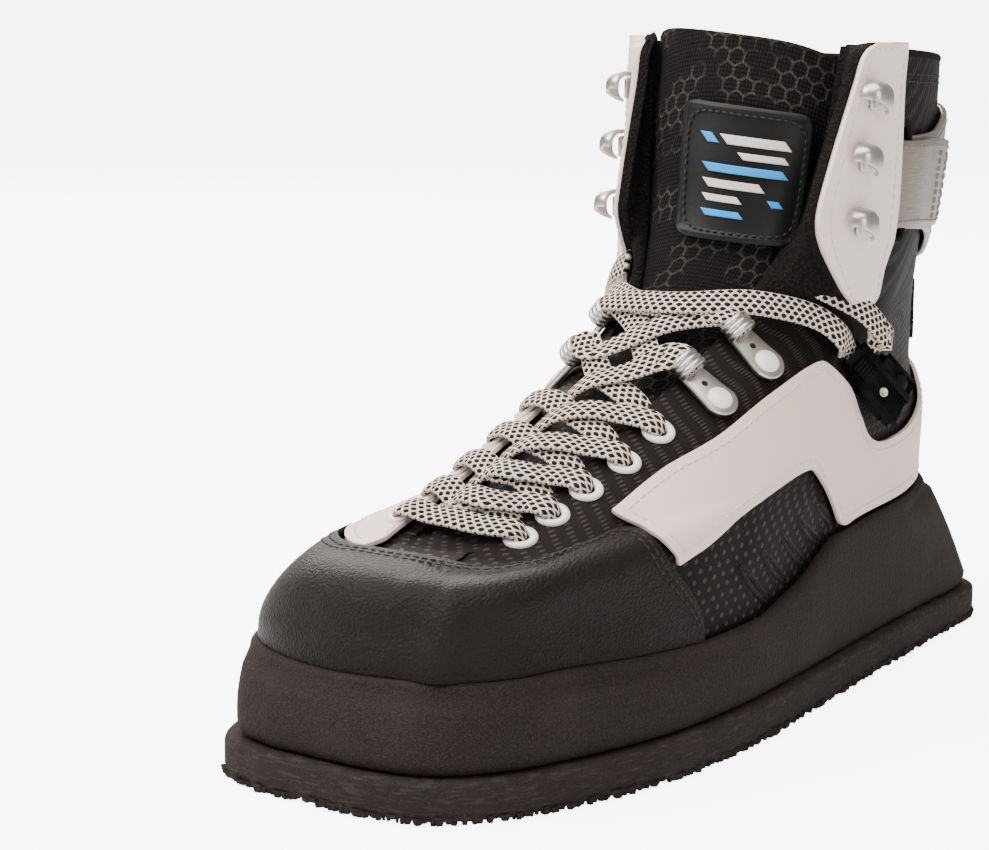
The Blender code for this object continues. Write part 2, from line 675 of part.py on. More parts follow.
def strip(name, path, wide, thick, material):
    """Flat lace along a path of (point, normal)."""
    points = [np.array(p) for p, _ in path]
    outer, inner = [], []
    for k, (point, normal) in enumerate(path):
        run = points[min(k + 1, len(points) - 1)] - points[max(k - 1, 0)]
        across = np.cross(run, normal)
        across = across / np.linalg.norm(across) * wide / 2
        n = np.array(normal) / np.linalg.norm(normal)
        outer.append([points[k] + across + n * thick / 2, points[k] - across + n * thick / 2])
        inner.append([points[k] + across - n * thick / 2, points[k] - across - n * thick / 2])
    return sheet(name, outer, inner, material)


def lace_path(start, end, lift, count=7):
    """Path over the upper from one pair of the last's parameters to another, at a height over it."""
    start, end = np.array(start), np.array(end)
    return [frame_at(start + (end - start) * t, lift) for t in np.linspace(0, 1, count)]


def build_laces():
    """The straight bar, then the crossings up the throat, each two strips joined where they cross."""
    reach, clear, under_lift, over_lift = 13.6, 4.2, 1.3, 1.9
    first = EYELETS[0][0] - 1.5
    wide = LACE_WIDE - 1.5
    strip("lace_bar", lace_path(over_throat(reach, first), over_throat(-reach, first), under_lift), wide - 1, LACE_THICK,
          CORD)
    stops = [row[0] for row in EYELETS] + [-13, 6]
    runs = []
    for low, high in zip(stops, stops[1:]):
        widen = max(high + 40, 0) * 0.045
        runs.append(((-reach - widen, low + clear), (reach + widen, high - clear)))
    paths = [[(over_throat(side * a[0], a[1]), over_throat(side * b[0], b[1])) for _, side in SIDES] for a, b in runs]
    paths.append([(over_throat(side * (5 - reach), 19), on_side(*LOCK_END, side)) for _, side in SIDES])
    for number, (lower, upper) in enumerate(paths, 1):
        long_run = number == len(paths)
        count, more = (10, 0.9) if long_run else (6, 0)
        under = strip("lace_cross_%d" % number, lace_path(*lower, under_lift + more, count), wide, LACE_THICK, CORD)
        over = strip("lace_over_%d" % number, lace_path(*upper, over_lift + more, count + 1), wide - 0.3, LACE_THICK,
                     CORD)
        join = under.modifiers.new("crossing", "BOOLEAN")
        join.operation = "UNION"
        join.solver = "MANIFOLD"
        join.object = over
        over.hide_render = True
        over.display_type = "WIRE"
        shoe.objects.unlink(over)
        cutters.objects.link(over)


cutters = bpy.data.collections.new("joined_shapes")
bpy.context.scene.collection.children.link(cutters)
build_sole()
build_upper()
build_overlays()
build_tongue()
build_strap()
build_flaps()
build_eyelets()
build_laces()
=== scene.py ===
"""Looks of the left shooting shoe: its pieces rebuilt over a last, with materials, light and camera."""

import math
import random

import bmesh
import bpy
import numpy as np
from mathutils import Matrix, Vector


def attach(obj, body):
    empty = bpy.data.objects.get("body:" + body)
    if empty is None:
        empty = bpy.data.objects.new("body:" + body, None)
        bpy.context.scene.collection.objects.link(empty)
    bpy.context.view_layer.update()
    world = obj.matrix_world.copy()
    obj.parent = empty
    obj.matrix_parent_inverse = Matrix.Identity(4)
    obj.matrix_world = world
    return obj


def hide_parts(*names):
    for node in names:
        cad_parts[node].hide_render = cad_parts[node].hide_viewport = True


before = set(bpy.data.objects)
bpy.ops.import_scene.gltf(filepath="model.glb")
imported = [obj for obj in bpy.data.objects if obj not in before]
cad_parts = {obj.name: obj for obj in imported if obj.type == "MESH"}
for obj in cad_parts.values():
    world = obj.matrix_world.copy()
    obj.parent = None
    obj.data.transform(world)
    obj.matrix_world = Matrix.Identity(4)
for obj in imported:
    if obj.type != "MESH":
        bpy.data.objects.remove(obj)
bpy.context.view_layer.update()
SEED = random.Random(7)

MM = 0.001
GAP = 0.3
SEAT = 1.25                    # underside of an overlay over the last
WALL = 2.4
LAYER = 1.3
OUTSOLE_HIGH = 11.0
SOLE_LEDGE = 3.0
LIP_WIDE = 4.2
CUP_DEEP = 7.0
TONGUE_THICK = 5.0
STRAP_THICK = 2.0
LACE_WIDE = 8.2
LACE_THICK = 2.0
SIDES = (("lateral", 1), ("medial", -1))

# Plan of the outsole: y, reach to the outer and to the inner side, in millimetres
SOLE_PLAN = (
    (-152, 6, 24), (-148, 24, 38), (-138, 36, 46), (-120, 46, 51), (-80, 57, 54), (-40, 59, 52),
    (0, 56, 48), (50, 51, 45), (100, 47, 44), (130, 45, 43), (144, 41, 39), (150, 30, 28), (152, 10, 10),
)
RIM = ((-152, 33.5), (-107, 34), (-79, 32.5), (-49, 32), (-20, 33), (3, 38), (28, 47), (62, 48), (110, 48.5),
       (132, 50), (152, 51))
LEAN = ((-152, 0.35), (-60, 0.5), (20, 0.75), (152, 0.85))
SHARES = (0.05, 0.18, 0.35, 0.52, 0.68, 0.84, 0.95)
# The last's girth loops: front y, z, back y, z, half widths at SHARES
LOOPS = (
    (-139, 28.6, 139, 44.6, 36, 45, 47, 43, 40, 35, 24), (-139, 42, 140, 60, 36, 45, 47, 43, 39, 35, 24),
    (-132, 54, 140, 76, 35, 44, 45, 42, 39, 35, 24), (-104, 59, 139, 89, 26, 38, 42, 41, 38, 33, 21),
    (-71, 73, 138, 101, 19, 32, 38, 40, 37, 31, 20), (-35, 89, 137, 113, 17, 29, 37, 40, 37, 30, 19),
    (2, 110, 136, 125, 17, 29, 38, 40, 36, 29, 18), (19, 132, 136, 138, 19, 32, 40, 41, 37, 29, 18),
    (27, 162, 137, 162, 21, 35, 42, 42, 38, 31, 19), (33, 193, 135, 187, 22, 36, 42, 42, 39, 32, 20),
)
# How much narrower the inner side of the toe is at the first three SHARES
INNER_EASE = (
    (0, 0, 0), (2, 1.5, 0), (10, 8, 3), (7, 8, 4), (2, 3, 1),
    (0, 0, 0), (0, 0, 0), (0, 0, 0), (0, 0, 0), (0, 0, 0),
)
THROAT_LOOP = 3
TOP_LOOP = len(LOOPS) - 1
BACK = len(SHARES) + 1
THROAT_WIDE = (13, 13, 14, 19, 27, 33, 35)
SWING = ((-150, -9), (-100, -6), (-77, -3), (-50, 1), (-20, 3), (10, 4), (60, 2), (110, 0), (150, 0))

# Toe cap's rear edge, from beside the middle line down to the rim: distance from the middle, y, z
CAP_EDGE = {
    1: ((10, -112, 58), (21, -111.5, 57.5), (28, -108.5, 57.5), (32.5, -101, 58.5), (35, -92, 60),
        (36, -80, 62.5), (36.5, -70.5, 64), (41, -67, 58), (45, -60, 50), (47, -53, 40), (47.2, -51.5, 33)),
    -1: ((9, -112.5, 58), (17, -113, 57.5), (24, -109.5, 57.5), (30, -102.5, 58), (35, -93, 58.5),
         (38.5, -83, 58), (41, -73, 56), (43.5, -63, 50), (46, -54, 40), (46.2, -52, 33)),
}
CAP_MIDDLE = -112              # y of that edge on the middle line
# Quarter panel: lower edge y, z and upper edge y, z
PANEL = (
    (-61, 54.5, -67, 67), (-41, 60, -46, 75), (-16, 66, -22, 82), (4, 69.5, 3, 91), (14, 69.5, 24, 98),
    (22, 64, 32, 98), (30, 56, 43, 90), (37, 49, 52, 80), (50, 49.2, 63, 71), (80, 49.6, 85, 70),
    (105, 50, 106, 73), (118, 50.6, 119, 78), (128, 51.2, 128, 86),
)
# Inner side of the panel: distance from the middle, y and z of its lower and its upper edge
PANEL_FACING = (
    (14, -111.5, 58.2, 13, -104, 59.3), (19, -111, 58.2, 15, -94, 61), (24, -107.5, 58.4, 15.5, -85, 64),
    (29.5, -101, 58.8, 15.5, -76, 68), (34.5, -92, 59, 15.5, -66, 72.4), (38.5, -81.5, 58.4, 15.7, -56, 77),
    (41, -71, 56.4, 16, -49, 80),
    (43.5, -56, 56.5, 16.5, -42, 82.8), (44, -41, 60, 17, -34, 86.4), (43, -27, 63, 26, -22, 86.6),
    (42, -15, 66, 33, -10, 85),
)
PANEL_JOIN = 3
PANEL_HEEL = (52, 91)
# Heel strap: lower edge y, z and upper edge y, z
STRAP = (
    (64, 137, 64, 165), (80, 136, 80, 165), (97, 134, 97, 166), (114, 129, 114, 170), (127, 122, 127, 173),
)
STRAP_HEEL = (118, 175)
# Returned strap end with its fold round the ring: lower edge y, z, upper edge y, z, height over the last
STRAP_RETURN = (
    (70, 138, 70, 164, 2.2), (63, 138, 63, 164, 2.4), (59.5, 138, 59.5, 164, 4.2), (60, 138, 60, 164, 6.4),
    (64, 138, 64, 164, 7.4), (72, 138, 72, 164, 6.7), (84, 137, 84, 164, 4.7), (98, 136, 102, 163, 3.8),
    (109, 136, 119, 161, 3.7),
)
TAPE = ((107, 136, 117, 161), (119, 136, 125, 162))
INSERT = ((128, 95, 128, 114), (134, 94, 134, 115.5))
INSERT_HEEL = (93, 116)
# Lace flap: height, y of front and rear edge, then how far out those edges stand
FLAP = (
    (115.5, 43, 50, 45, 47), (118, 37, 52, 45, 47.5), (126, 28.5, 54, 44.5, 48), (134, 21.5, 56.5, 44, 49.5),
    (140, 18.5, 58, 44, 49.5), (147, 19.5, 59, 44, 49.5), (164, 26.5, 59.5, 45, 49.5),
    (180, 34, 59.5, 46, 49.5), (189.5, 38, 60.5, 47, 49.5), (193.5, 46, 60.5, 47, 49.5),
)
FLAP_TURN = {1: 0, -1: 12}      # how far the front edge turns in to the shin
FLAP_BACK = {1: 1.0, -1: 0.8}   # width of each flap, as a share
FLAP_THICK = 1.7
PAD_THICK = 3.0
PAD_BEHIND = 1.8                # outer face of the padding behind the leather's
PAD_AHEAD = 0.7                 # and its front edge ahead of the leather's
HOOKS = ((140, 37), (159, 38), (177, 42))   # z, y
INNER_HOOK_BACK = 5             # how much further back the inner flap's hooks sit
# Eyelets and lace rings: y, distance from the middle
EYELETS = ((-89.5, 19.2), (-77.5, 19.6), (-64.5, 20), (-49.5, 21), (-33.5, 21.4))
LACE_RINGS = ((-12, 26.5), (9.5, 29.5))
FACING_TOP = {1: 0.0, -1: SEAT + LAYER}     # what the eyelets sit on, over the last
CROSSINGS = len(EYELETS) + len(LACE_RINGS)
LOCK_AT = (55, 94)              # y, z
LOCK_PLATE = (69, 86)
LOCK_SLOPE = np.array([0, -0.74, 0.67])
SLIDER_TURN = np.array([0, -0.75, 0.1])     # how the slider and its plate turn to the front
PLATE_TURN = np.array([0, -0.4, 0.1])
RING_BOX = (59, 68, 134, 169)   # wire ring: y from and to, z from and to
RING_CUT = 3
BADGE = ((-0.42, 1.6), (7.06, 8.38))        # reach in u and v
# Bars of the badge: colour, left, right, low and high as shares of the badge
BADGE_BARS = (
    ("grey", -0.62, 0.30, 0.42, 0.56), ("grey", -0.62, 0.05, 0.22, 0.32), ("blue", -0.62, 0.52, 0.00, 0.12),
    ("grey", -0.30, 0.52, -0.22, -0.10), ("grey", 0.00, 0.52, -0.42, -0.32),
    ("blue", -0.05, 0.52, -0.64, -0.54), ("blue", 0.42, 0.60, 0.42, 0.56),
    ("blue", -0.62, -0.44, -0.42, -0.32),
)
# Hood of a lace hook: half sizes, and the planes that cut it open (point, way out)
HOOD = (6.8, 6.0, 5.4)
HOOD_CUTS = (((0, 0, -2.8), (0, -0.5, -1)), ((0.6, 0, 0), (-1, 0, 0)), ((0, 3.4, 0), (0, 1, 0)))
# Arcs of a lace ring's drop: radius, centre along it, angles in degrees
DROP_ARCS = ((5.8, -1.0, range(190, 351, 16)), (4.3, 10.5, range(0, 181, 20)))
# Slits of the black insert on both sides: upper y, z and lower y, z
SLITS = ((-30, 49, -12, 35), (-17, 51, -1, 39), (-4, 53, 12, 42), (7, 56, 24, 46), (20, 59, 33, 50))
# Soft ridges of the toe cap: both ends, rise, half width
TOE_RIDGES = (
    ((20.5, -134.5, 34), (22, -128.5, 54.5), 2.6, 5.5), ((22, -128.5, 54.5), (31, -121, 54.5), 2.4, 5.5),
    ((31, -121, 54.5), (38.5, -106, 55), 1.7, 6.0), ((38.5, -106, 55), (43.5, -84, 55.5), 0.9, 6.0),
    ((22, -128.5, 54.5), (10, -131.5, 55.5), 1.5, 6.0), ((10, -131.5, 55.5), (-20, -128, 56.5), 0.7, 6.0),
)
# Flats between those ridges: both ends, depth, half width
TOE_FLATS = (((35, -119, 43), (46, -86, 44), 1.3, 9.0), ((8, -137, 44), (-16, -137, 44), 0.8, 8.0),
             ((14, -120, 59), (28, -104, 59), 0.9, 8.0))
# Soft creases of the shaft: y, z of both ends, depth, half width
CREASES = ((18, 104, 60, 112, 0.9, 5.0), (24, 120, 62, 126, 0.7, 5.0), (66, 116, 120, 108, 0.6, 7.0),
           (80, 96, 122, 90, 0.5, 6.0), (-20, 60, -40, 42, 0.5, 6.0))
# Camera: place in metres, direction, roll in degrees, lens in millimetres
CAMERA_AT = (0.3835, -0.6233, 0.2065)
CAMERA_WAY = (-0.569, 0.804, -0.172)
CAMERA_ROLL = 0.84
LENS = 90.27
# Lights: name, place in metres, power, width and height
LIGHTS = (
    ("top", (-0.25, -0.35, 1.9), 90, (2.2, 2.2)), ("key", (-0.9, -1.0, 1.2), 24, (0.7, 0.7)),
    ("side", (1.5, -0.9, 0.8), 13, (0.8, 1.0)), ("rear", (-1.3, 1.1, 0.9), 26, (1.0, 0.8)),
)
LIGHT_AIM = (0, 0, 0.08)
LIGHT_COLOUR = (1, 0.945, 0.9)
SKY_COLOUR = (1, 0.96, 0.925, 1)
SKY_STRENGTH = 0.5
BACKDROP = 6.0                 # strength of the white that only the camera sees
FLOOR_REACH = 60
WALL_HIGH = 9


class Field:
    """A number in a material's nodes, with ordinary arithmetic."""

    def __init__(self, paint, socket):
        self.paint = paint
        self.socket = socket

    def do(self, operation, *values):
        return self.paint.node("ShaderNodeMath", {"operation": operation}, *values)

    def __add__(self, other):
        return self.do("ADD", self, other)

    def __mul__(self, other):
        return self.do("MULTIPLY", self, other)

    def __sub__(self, other):
        return self.do("SUBTRACT", self, other)

    def __rsub__(self, other):
        return self.do("SUBTRACT", other, self)

    def __truediv__(self, other):
        return self.do("DIVIDE", self, other)

    def __mod__(self, other):
        return self.do("FLOORED_MODULO", self, other)

    def __abs__(self):
        return self.do("ABSOLUTE", self)

    def floor(self):
        return self.do("FLOOR", self)

    def least(self, other):
        return self.do("MINIMUM", self, other)

    def most(self, other):
        return self.do("MAXIMUM", self, other)

    def step(self, low, high):
        """Smooth step from 0 at low to 1 at high."""
        smooth = {"interpolation_type": "SMOOTHSTEP"}
        return self.paint.node("ShaderNodeMapRange", smooth, self, low, high, 0.0, 1.0)


class Paint:
    """A Principled material put together from fields."""

    def __init__(self, name, roughness=0.5, metallic=0.0, coat=0.0, shine=0.5):
        self.material = bpy.data.materials.new(name)
        self.material.use_nodes = True
        self.tree = self.material.node_tree
        self.shader = self.tree.nodes["Principled BSDF"]
        for socket, value in (("Roughness", roughness), ("Metallic", metallic), ("Coat Weight", coat),
                              ("Specular IOR Level", shine)):
            self.shader.inputs[socket].default_value = value

    def node(self, kind, settings, *values, output=0):
        """Any node: settings first, then its sockets in order; None leaves a socket alone."""
        node = self.tree.nodes.new(kind)
        for key, value in settings.items():
            setattr(node, key, value)
        for socket, value in zip(node.inputs, values):
            if isinstance(value, Field):
                self.tree.links.new(value.socket, socket)
            elif value is not None:
                socket.default_value = value
        return Field(self, node.outputs[output])

    def place(self, source="Object"):
        """The three coordinates of a point, in metres."""
        socket = ("Generated", "Normal", "UV", "Object").index(source)
        vector = self.node("ShaderNodeTexCoord", {}, output=socket)
        return [self.node("ShaderNodeSeparateXYZ", {}, vector, output=k) for k in range(3)]

    def joined(self, x, y, z=0.0):
        return self.node("ShaderNodeCombineXYZ", {}, x, y, z)

    def noise(self, vector, scale, detail=2.0):
        return self.node("ShaderNodeTexNoise", {}, vector, None, scale, detail)

    def mix(self, share, first, second):
        """Colour between two, each a tuple or a field."""
        values = [c if isinstance(c, Field) else (*c, 1) for c in (first, second)]
        unused = [None] * 5
        return self.node("ShaderNodeMix", {"data_type": "RGBA"}, share, *unused, *values, output=2)

    def finish(self, colour, bump=None, deep=0.0, roughness=None):
        base = self.shader.inputs["Base Color"]
        if isinstance(colour, Field):
            self.tree.links.new(colour.socket, base)
        else:
            base.default_value = (*colour, 1)
        if roughness is not None:
            self.tree.links.new(roughness.socket, self.shader.inputs["Roughness"])
        if bump is not None:
            node = self.tree.nodes.new("ShaderNodeBump")
            node.inputs["Strength"].default_value = 1.0
            node.inputs["Distance"].default_value = deep * MM
            self.tree.links.new(bump.socket, node.inputs["Height"])
            self.tree.links.new(node.outputs["Normal"], self.shader.inputs["Normal"])
        return self.material


def grained(name, colour, dark, roughness, scale, deep, shine=0.5):
    """Leather with a fine pebble grain and faint soiling."""
    paint = Paint(name, roughness, shine=shine)
    spot = paint.joined(*paint.place())
    grain = paint.node("ShaderNodeTexVoronoi", {"feature": "SMOOTH_F1"}, spot, None, scale)
    fine = paint.noise(spot, scale * 1.7, 3.0)
    broad = paint.noise(spot, 28.0, 3.0)
    shade = paint.mix(broad.step(0.35, 0.75), colour, dark)
    return paint.finish(shade, grain * 0.7 + fine * 0.5, deep, broad * 0.12 + (roughness - 0.06))


def embossed(name, colour, dash_highlight, roughness):
    """Smooth black leather with staggered short dashes pressed in, along the piece's own surface; the dashes'
    paler colour is a painted highlight.
    """
    paint = Paint(name, roughness, shine=0.07)
    long, tall = 0.0048, 0.0029
    x, y, _ = paint.place("UV")
    row = (y / tall).floor()
    a = ((x / long) + (row % 2.0) * 0.5) % 1.0 - 0.5
    b = ((y / tall) % 1.0) - 0.5
    away = (a * 5.2) * (a * 5.2) + (b * 3.6) * (b * 3.6)
    dash = 1.0 - away.step(0.55, 1.25)
    spot = paint.joined(*paint.place())
    grain = paint.noise(spot, 2600.0, 2.0)
    broad = paint.noise(spot, 22.0, 3.0)
    worn = paint.mix(broad.step(0.3, 0.75), colour, tuple(c * 1.35 for c in colour))
    # The dashes are mixed towards a much paler colour: a painted highlight on them.
    shade = paint.mix(dash * 0.75, worn, dash_highlight)
    return paint.finish(shade, grain * 0.25 - dash, 0.3, roughness + 0.06 - dash * 0.14)


def rubber(name, colour, light, scale, deep, grit, streaks):
    """Sponge or crumb rubber with pale specks and grit; streaks draws fine lines along the side."""
    paint = Paint(name, 0.82, shine=0.15)
    x, y, z = paint.place()
    spot = paint.joined(x, y, z)
    speck = paint.node("ShaderNodeTexVoronoi", {}, spot, None, scale).step(0.34, 0.16)
    rough = paint.noise(spot, scale * 0.6, 4.0)
    fine = paint.noise(spot, scale * 2.0, 2.0)
    lines = paint.noise(paint.joined(x * 0.12, y * 0.12, z * 1.0), 1500.0, 2.0)
    broad = paint.noise(spot, 35.0, 3.0)
    pale = speck * 0.25 + fine.step(0.4, 0.7) * grit + broad.step(0.4, 0.8) * 0.12
    shade = paint.mix(pale + lines.step(0.5, 0.7) * streaks, colour, light)
    return paint.finish(shade, rough + lines * streaks - speck * 0.2, deep)


def hex_mesh():
    """Open knit of the tongue with patches of paler hexagon outlines."""
    paint = Paint("tongue_mesh", 0.92, shine=0.1)
    x, y, _ = paint.place("UV")
    wide, tall = 0.005, 0.00866

    def cell(shift):
        a = ((x + shift * wide) % wide) - wide / 2
        b = ((y + shift * tall) % tall) - tall / 2
        return abs(a), abs(b)

    def reach(a, b):
        return (a * 0.5 + b * 0.866).most(a)

    edge = reach(*cell(0.0)).least(reach(*cell(0.5)))
    line = edge.step(0.00195, 0.00225)
    spot = paint.joined(x, y)
    patch = paint.noise(spot, 55.0, 2.0).step(0.44, 0.56)
    weave = abs(((x / 0.0011) % 1.0) - 0.5) + abs(((y / 0.0013) % 1.0) - 0.5)
    thread = paint.noise(spot, 2400.0, 2.0)
    base = paint.mix(weave.step(0.3, 0.8), (0.004, 0.0035, 0.0035), (0.011, 0.0095, 0.01))
    shade = paint.mix(line * patch * 0.6 * thread.step(0.3, 0.6), base, (0.085, 0.075, 0.07))
    return paint.finish(shade, weave + line * patch * 0.7, 0.5)


def lining():
    """Black knit lining."""
    paint = Paint("lining", 0.95, shine=0.1)
    spot = paint.joined(*paint.place())
    knit = paint.node("ShaderNodeTexVoronoi", {}, spot, None, 1100.0)
    shade = paint.mix(knit.step(0.1, 0.6), (0.014, 0.012, 0.011), (0.005, 0.004, 0.004))
    return paint.finish(shade, 1.0 - knit, 0.5)


def brushed(name, colour, light, roughness, metallic):
    """Satin surface with fine lines along the piece."""
    paint = Paint(name, roughness, metallic)
    x, y, _ = paint.place("UV")
    line = paint.noise(paint.joined(x * 0.06, y * 1.0), 2600.0, 3.0)
    return paint.finish(paint.mix(line.step(0.3, 0.7), colour, light), line, 0.06)


def plain(name, colour, roughness, metallic=0.0, coat=0.0, deep=0.0, shine=0.5):
    """One colour, with a little unevenness."""
    paint = Paint(name, roughness, metallic, coat, shine=shine)
    uneven = paint.noise(paint.joined(*paint.place()), 900.0, 2.0)
    return paint.finish(colour, uneven, deep, uneven * 0.1 + (roughness - 0.05))


def dotted_lace():
    """Flat woven lace, cream with staggered black picks."""
    paint = Paint("dotted_lace", 0.9, shine=0.1)
    long, wide = 0.0027, 0.00155
    x, y, _ = paint.place("UV")
    row = (y / wide + 0.5).floor()
    a = ((x / long + (row % 2.0) * 0.5) % 1.0) - 0.5
    b = ((y / wide + 0.5) % 1.0) - 0.5
    away = (a * 2.9) * (a * 2.9) + (b * 2.3) * (b * 2.3)
    dot = 1.0 - away.step(0.8, 1.1)
    rise, fall = x / (long / 2) + y / wide, x / (long / 2) - y / wide
    weave = abs((rise % 1.0) - 0.5) + abs((fall % 1.0) - 0.5)
    cream = paint.mix(weave.step(0.15, 0.7), (0.42, 0.34, 0.27), (0.78, 0.68, 0.585))
    return paint.finish(paint.mix(dot, cream, (0.012, 0.011, 0.012)), weave, 0.5)


# Its third colour, the dashes' pale tone, is a painted highlight.
LEATHER = embossed("embossed_leather", (0.0062, 0.005, 0.0045), (0.045, 0.038, 0.036), 0.54)
TOE_LEATHER = grained("toe_leather", (0.0072, 0.0056, 0.0048), (0.0098, 0.0077, 0.0066), 0.46, 1300.0, 0.55,
                      shine=0.11)
WHITE = grained("white_grain", (0.72, 0.59, 0.525), (0.68, 0.55, 0.485), 0.5, 1500.0, 0.12)
PALE = grained("flap_leather", (0.8, 0.69, 0.64), (0.76, 0.65, 0.6), 0.5, 1500.0, 0.12)
SILVER = brushed("brushed_strap", (0.17, 0.148, 0.13), (0.26, 0.228, 0.2), 0.34, 0.6)
MIDSOLE = rubber("sponge_rubber", (0.0095, 0.0073, 0.0063), (0.06, 0.048, 0.042), 1500.0, 0.6, 0.3, 0.0)
OUTSOLE = rubber("crumb_rubber", (0.0125, 0.0095, 0.0086), (0.05, 0.04, 0.036), 1000.0, 0.4, 0.1, 0.35)
TONGUE = hex_mesh()
LINING = lining()
METAL = plain("satin_metal", (0.5, 0.48, 0.455), 0.33, 1.0, deep=0.02)
PLASTIC = plain("black_nylon", (0.005, 0.005, 0.0052), 0.62, deep=0.03, shine=0.08)
BADGE_RUBBER = plain("badge_rubber", (0.005, 0.005, 0.0052), 0.42, deep=0.05, shine=0.2)
BLUE = plain("blue_rubber", (0.0, 0.25, 0.62), 0.45)
GREY = plain("grey_rubber", (0.6, 0.56, 0.53), 0.5)
ENAMEL = plain("gloss_enamel", (0.8, 0.77, 0.74), 0.22, coat=0.6)
LACE = dotted_lace()
PALE_THREAD = plain("pale_thread", (0.6, 0.55, 0.66), 0.7)
GREY_THREAD = plain("grey_thread", (0.2, 0.18, 0.17), 0.7)
DARK_THREAD = plain("dark_thread", (0.004, 0.0035, 0.0035), 0.7)
# Dark discs filling the holes of eyelets and lace rings: painted shade inside the holes, over the black
# pieces that show through them.
HOLE_SHADE = plain("hole_shade", (0.004, 0.004, 0.004), 0.9)


def cubic(a, b, c, d, f):
    """Smooth value a share f of the way from b to c."""
    second, third = 2 * a - 5 * b + 4 * c - d, 3 * b - 3 * c + d - a
    return 0.5 * (2 * b + (c - a) * f + second * f * f + third * f ** 3)


def spline(points, t):
    """Values on the smooth curve through equally spaced points, at t from 0 to their last index."""
    points = np.asarray(points, float)
    t = np.asarray(t, float)
    k = np.clip(np.floor(t).astype(int), 0, len(points) - 2)
    f = (t - k).reshape(t.shape + (1,) * (points.ndim - 1))
    row = np.concatenate([[2 * points[0] - points[1]], points, [2 * points[-1] - points[-2]]])
    return cubic(*(row[k + j] for j in range(4)), f)


def along(table, y, column=1):
    """A column of a table at y, on straight lines between its rows."""
    return np.interp(y, [row[0] for row in table], [row[column] for row in table])


def unit(vectors):
    return vectors / np.linalg.norm(vectors, axis=-1, keepdims=True)


EASE_ROWS = [[*row, 0, 0, 0, 0] for row in INNER_EASE]
SHARE_KNOTS = np.array([SHARES[0], 0, *SHARES, 1, SHARES[-1], SHARES[-1]])


def girth(u, v, side):
    """Half width, y and z on a girth loop: u from 0 on the front line to BACK on the heel line."""
    u, v, side = np.broadcast_arrays(np.asarray(u, float), np.asarray(v, float), np.asarray(side))
    row = spline(LOOPS, v)
    wide = row[..., 4:] - np.where(side[..., None] < 0, spline(EASE_ROWS, v), 0)
    none = np.zeros(u.shape + (1,))
    halves = np.concatenate([-wide[..., :1], none, wide, none, -wide[..., -1:], -wide[..., -1:]], axis=-1)
    k = np.clip(np.floor(u + 1).astype(int), 1, BACK + 1)
    f = u + 1 - k

    def blend(knots):
        return cubic(*(np.take_along_axis(knots, (k + j)[..., None], -1)[..., 0] for j in (-1, 0, 1, 2)), f)

    half = blend(halves)
    share = blend(np.broadcast_to(SHARE_KNOTS, halves.shape))
    y = row[..., 0] + (row[..., 2] - row[..., 0]) * share
    z = row[..., 1] + (row[..., 3] - row[..., 1]) * share
    wedge = along(RIM, y) - np.interp(y, (RIM[0][0], RIM[-1][0]), (RIM[0][1], RIM[-1][1]))
    return half, y, z + wedge * np.maximum(1 - v / 2, 0)


def last(u, v):
    """Points of the last in millimetres.  Below 0 and past BACK, u goes on along the inner side."""
    u = np.asarray(u, float)
    side = np.where((u >= 0) & (u <= BACK), 1, -1)
    half, y, z = girth(np.where(u < 0, -u, np.where(u > BACK, 2 * BACK - u, u)), v, side)
    fade = np.interp(z, (60, 130), (1, 0))
    return np.stack([side * half + along(SWING, y) * fade, y, z], axis=-1)


def outward(u, v):
    """Outward normals of the last."""
    h = 0.02
    u, v = np.asarray(u, float), np.asarray(v, float)
    return unit(np.cross(last(u + h, v) - last(u - h, v), last(u, v + h) - last(u, np.maximum(v - h, 0))))


def lifted(u, v, lift=0.0):
    """Points of the last moved out along its normals."""
    return last(u, v) + outward(u, v) * np.asarray(lift, float)[..., None]


U_STEPS = np.linspace(0, BACK, 97)
V_STEPS = np.linspace(0, TOP_LOOP, 91)
SAMPLES = {}
for _, sign in SIDES:
    girths, levels = np.meshgrid(U_STEPS, V_STEPS)
    flank = sign * girth(girths, levels, sign)[0]
    SAMPLES[sign] = np.concatenate([last(sign * girths, levels), flank[..., None]], axis=-1)


def find(side, axes, target, above=0.0):
    """Parameters of the last's point whose values on the axes come nearest to target."""
    table = SAMPLES[side]
    miss = ((table[:, :, axes] - np.array(target)) ** 2).sum(axis=2)
    miss[V_STEPS < above] = 1e9
    j, i = np.unravel_index(miss.argmin(), miss.shape)
    j0, j1, i0, i1 = max(j - 1, 0), min(j + 1, len(V_STEPS) - 1), max(i - 1, 0), min(i + 1, len(U_STEPS) - 1)
    du = (table[j, i1][axes] - table[j, i0][axes]) / (U_STEPS[i1] - U_STEPS[i0])
    dv = (table[j1, i][axes] - table[j0, i][axes]) / (V_STEPS[j1] - V_STEPS[j0])
    step = np.linalg.lstsq(np.array([du, dv]).T, np.array(target) - table[j, i][axes], rcond=0.05)[0]
    step = np.clip(step, -0.1, 0.1)
    u = min(max(U_STEPS[i] + step[0], 0), BACK)
    return side * u, min(max(V_STEPS[j] + step[1], above), TOP_LOOP)


def on_side(y, z, side):
    return find(side, [1, 2], (y, z))


def near(side, target):
    return find(side, [3, 1, 2], (side * target[0], target[1], target[2]))


def over_throat(off, y):
    """Parameters at a signed distance from the middle line, on the throat's slope."""
    return find(1 if off >= 0 else -1, [3, 1], (off, y), THROAT_LOOP - 0.2)


def at_height(u, z):
    """Level where the line of constant u reaches height z."""
    levels = np.linspace(0, TOP_LOOP, 400)
    return np.interp(z, last(np.full(400, float(u)), levels)[:, 2], levels)


def throat_edge(v):
    """Girth parameter of the opening's edge at level v."""
    wide = spline(np.array(THROAT_WIDE, float), max(v - THROAT_LOOP, 0))
    reach = np.linspace(0, 4, 400)
    return np.interp(wide, girth(reach, np.full(400, v), 1)[0], reach)


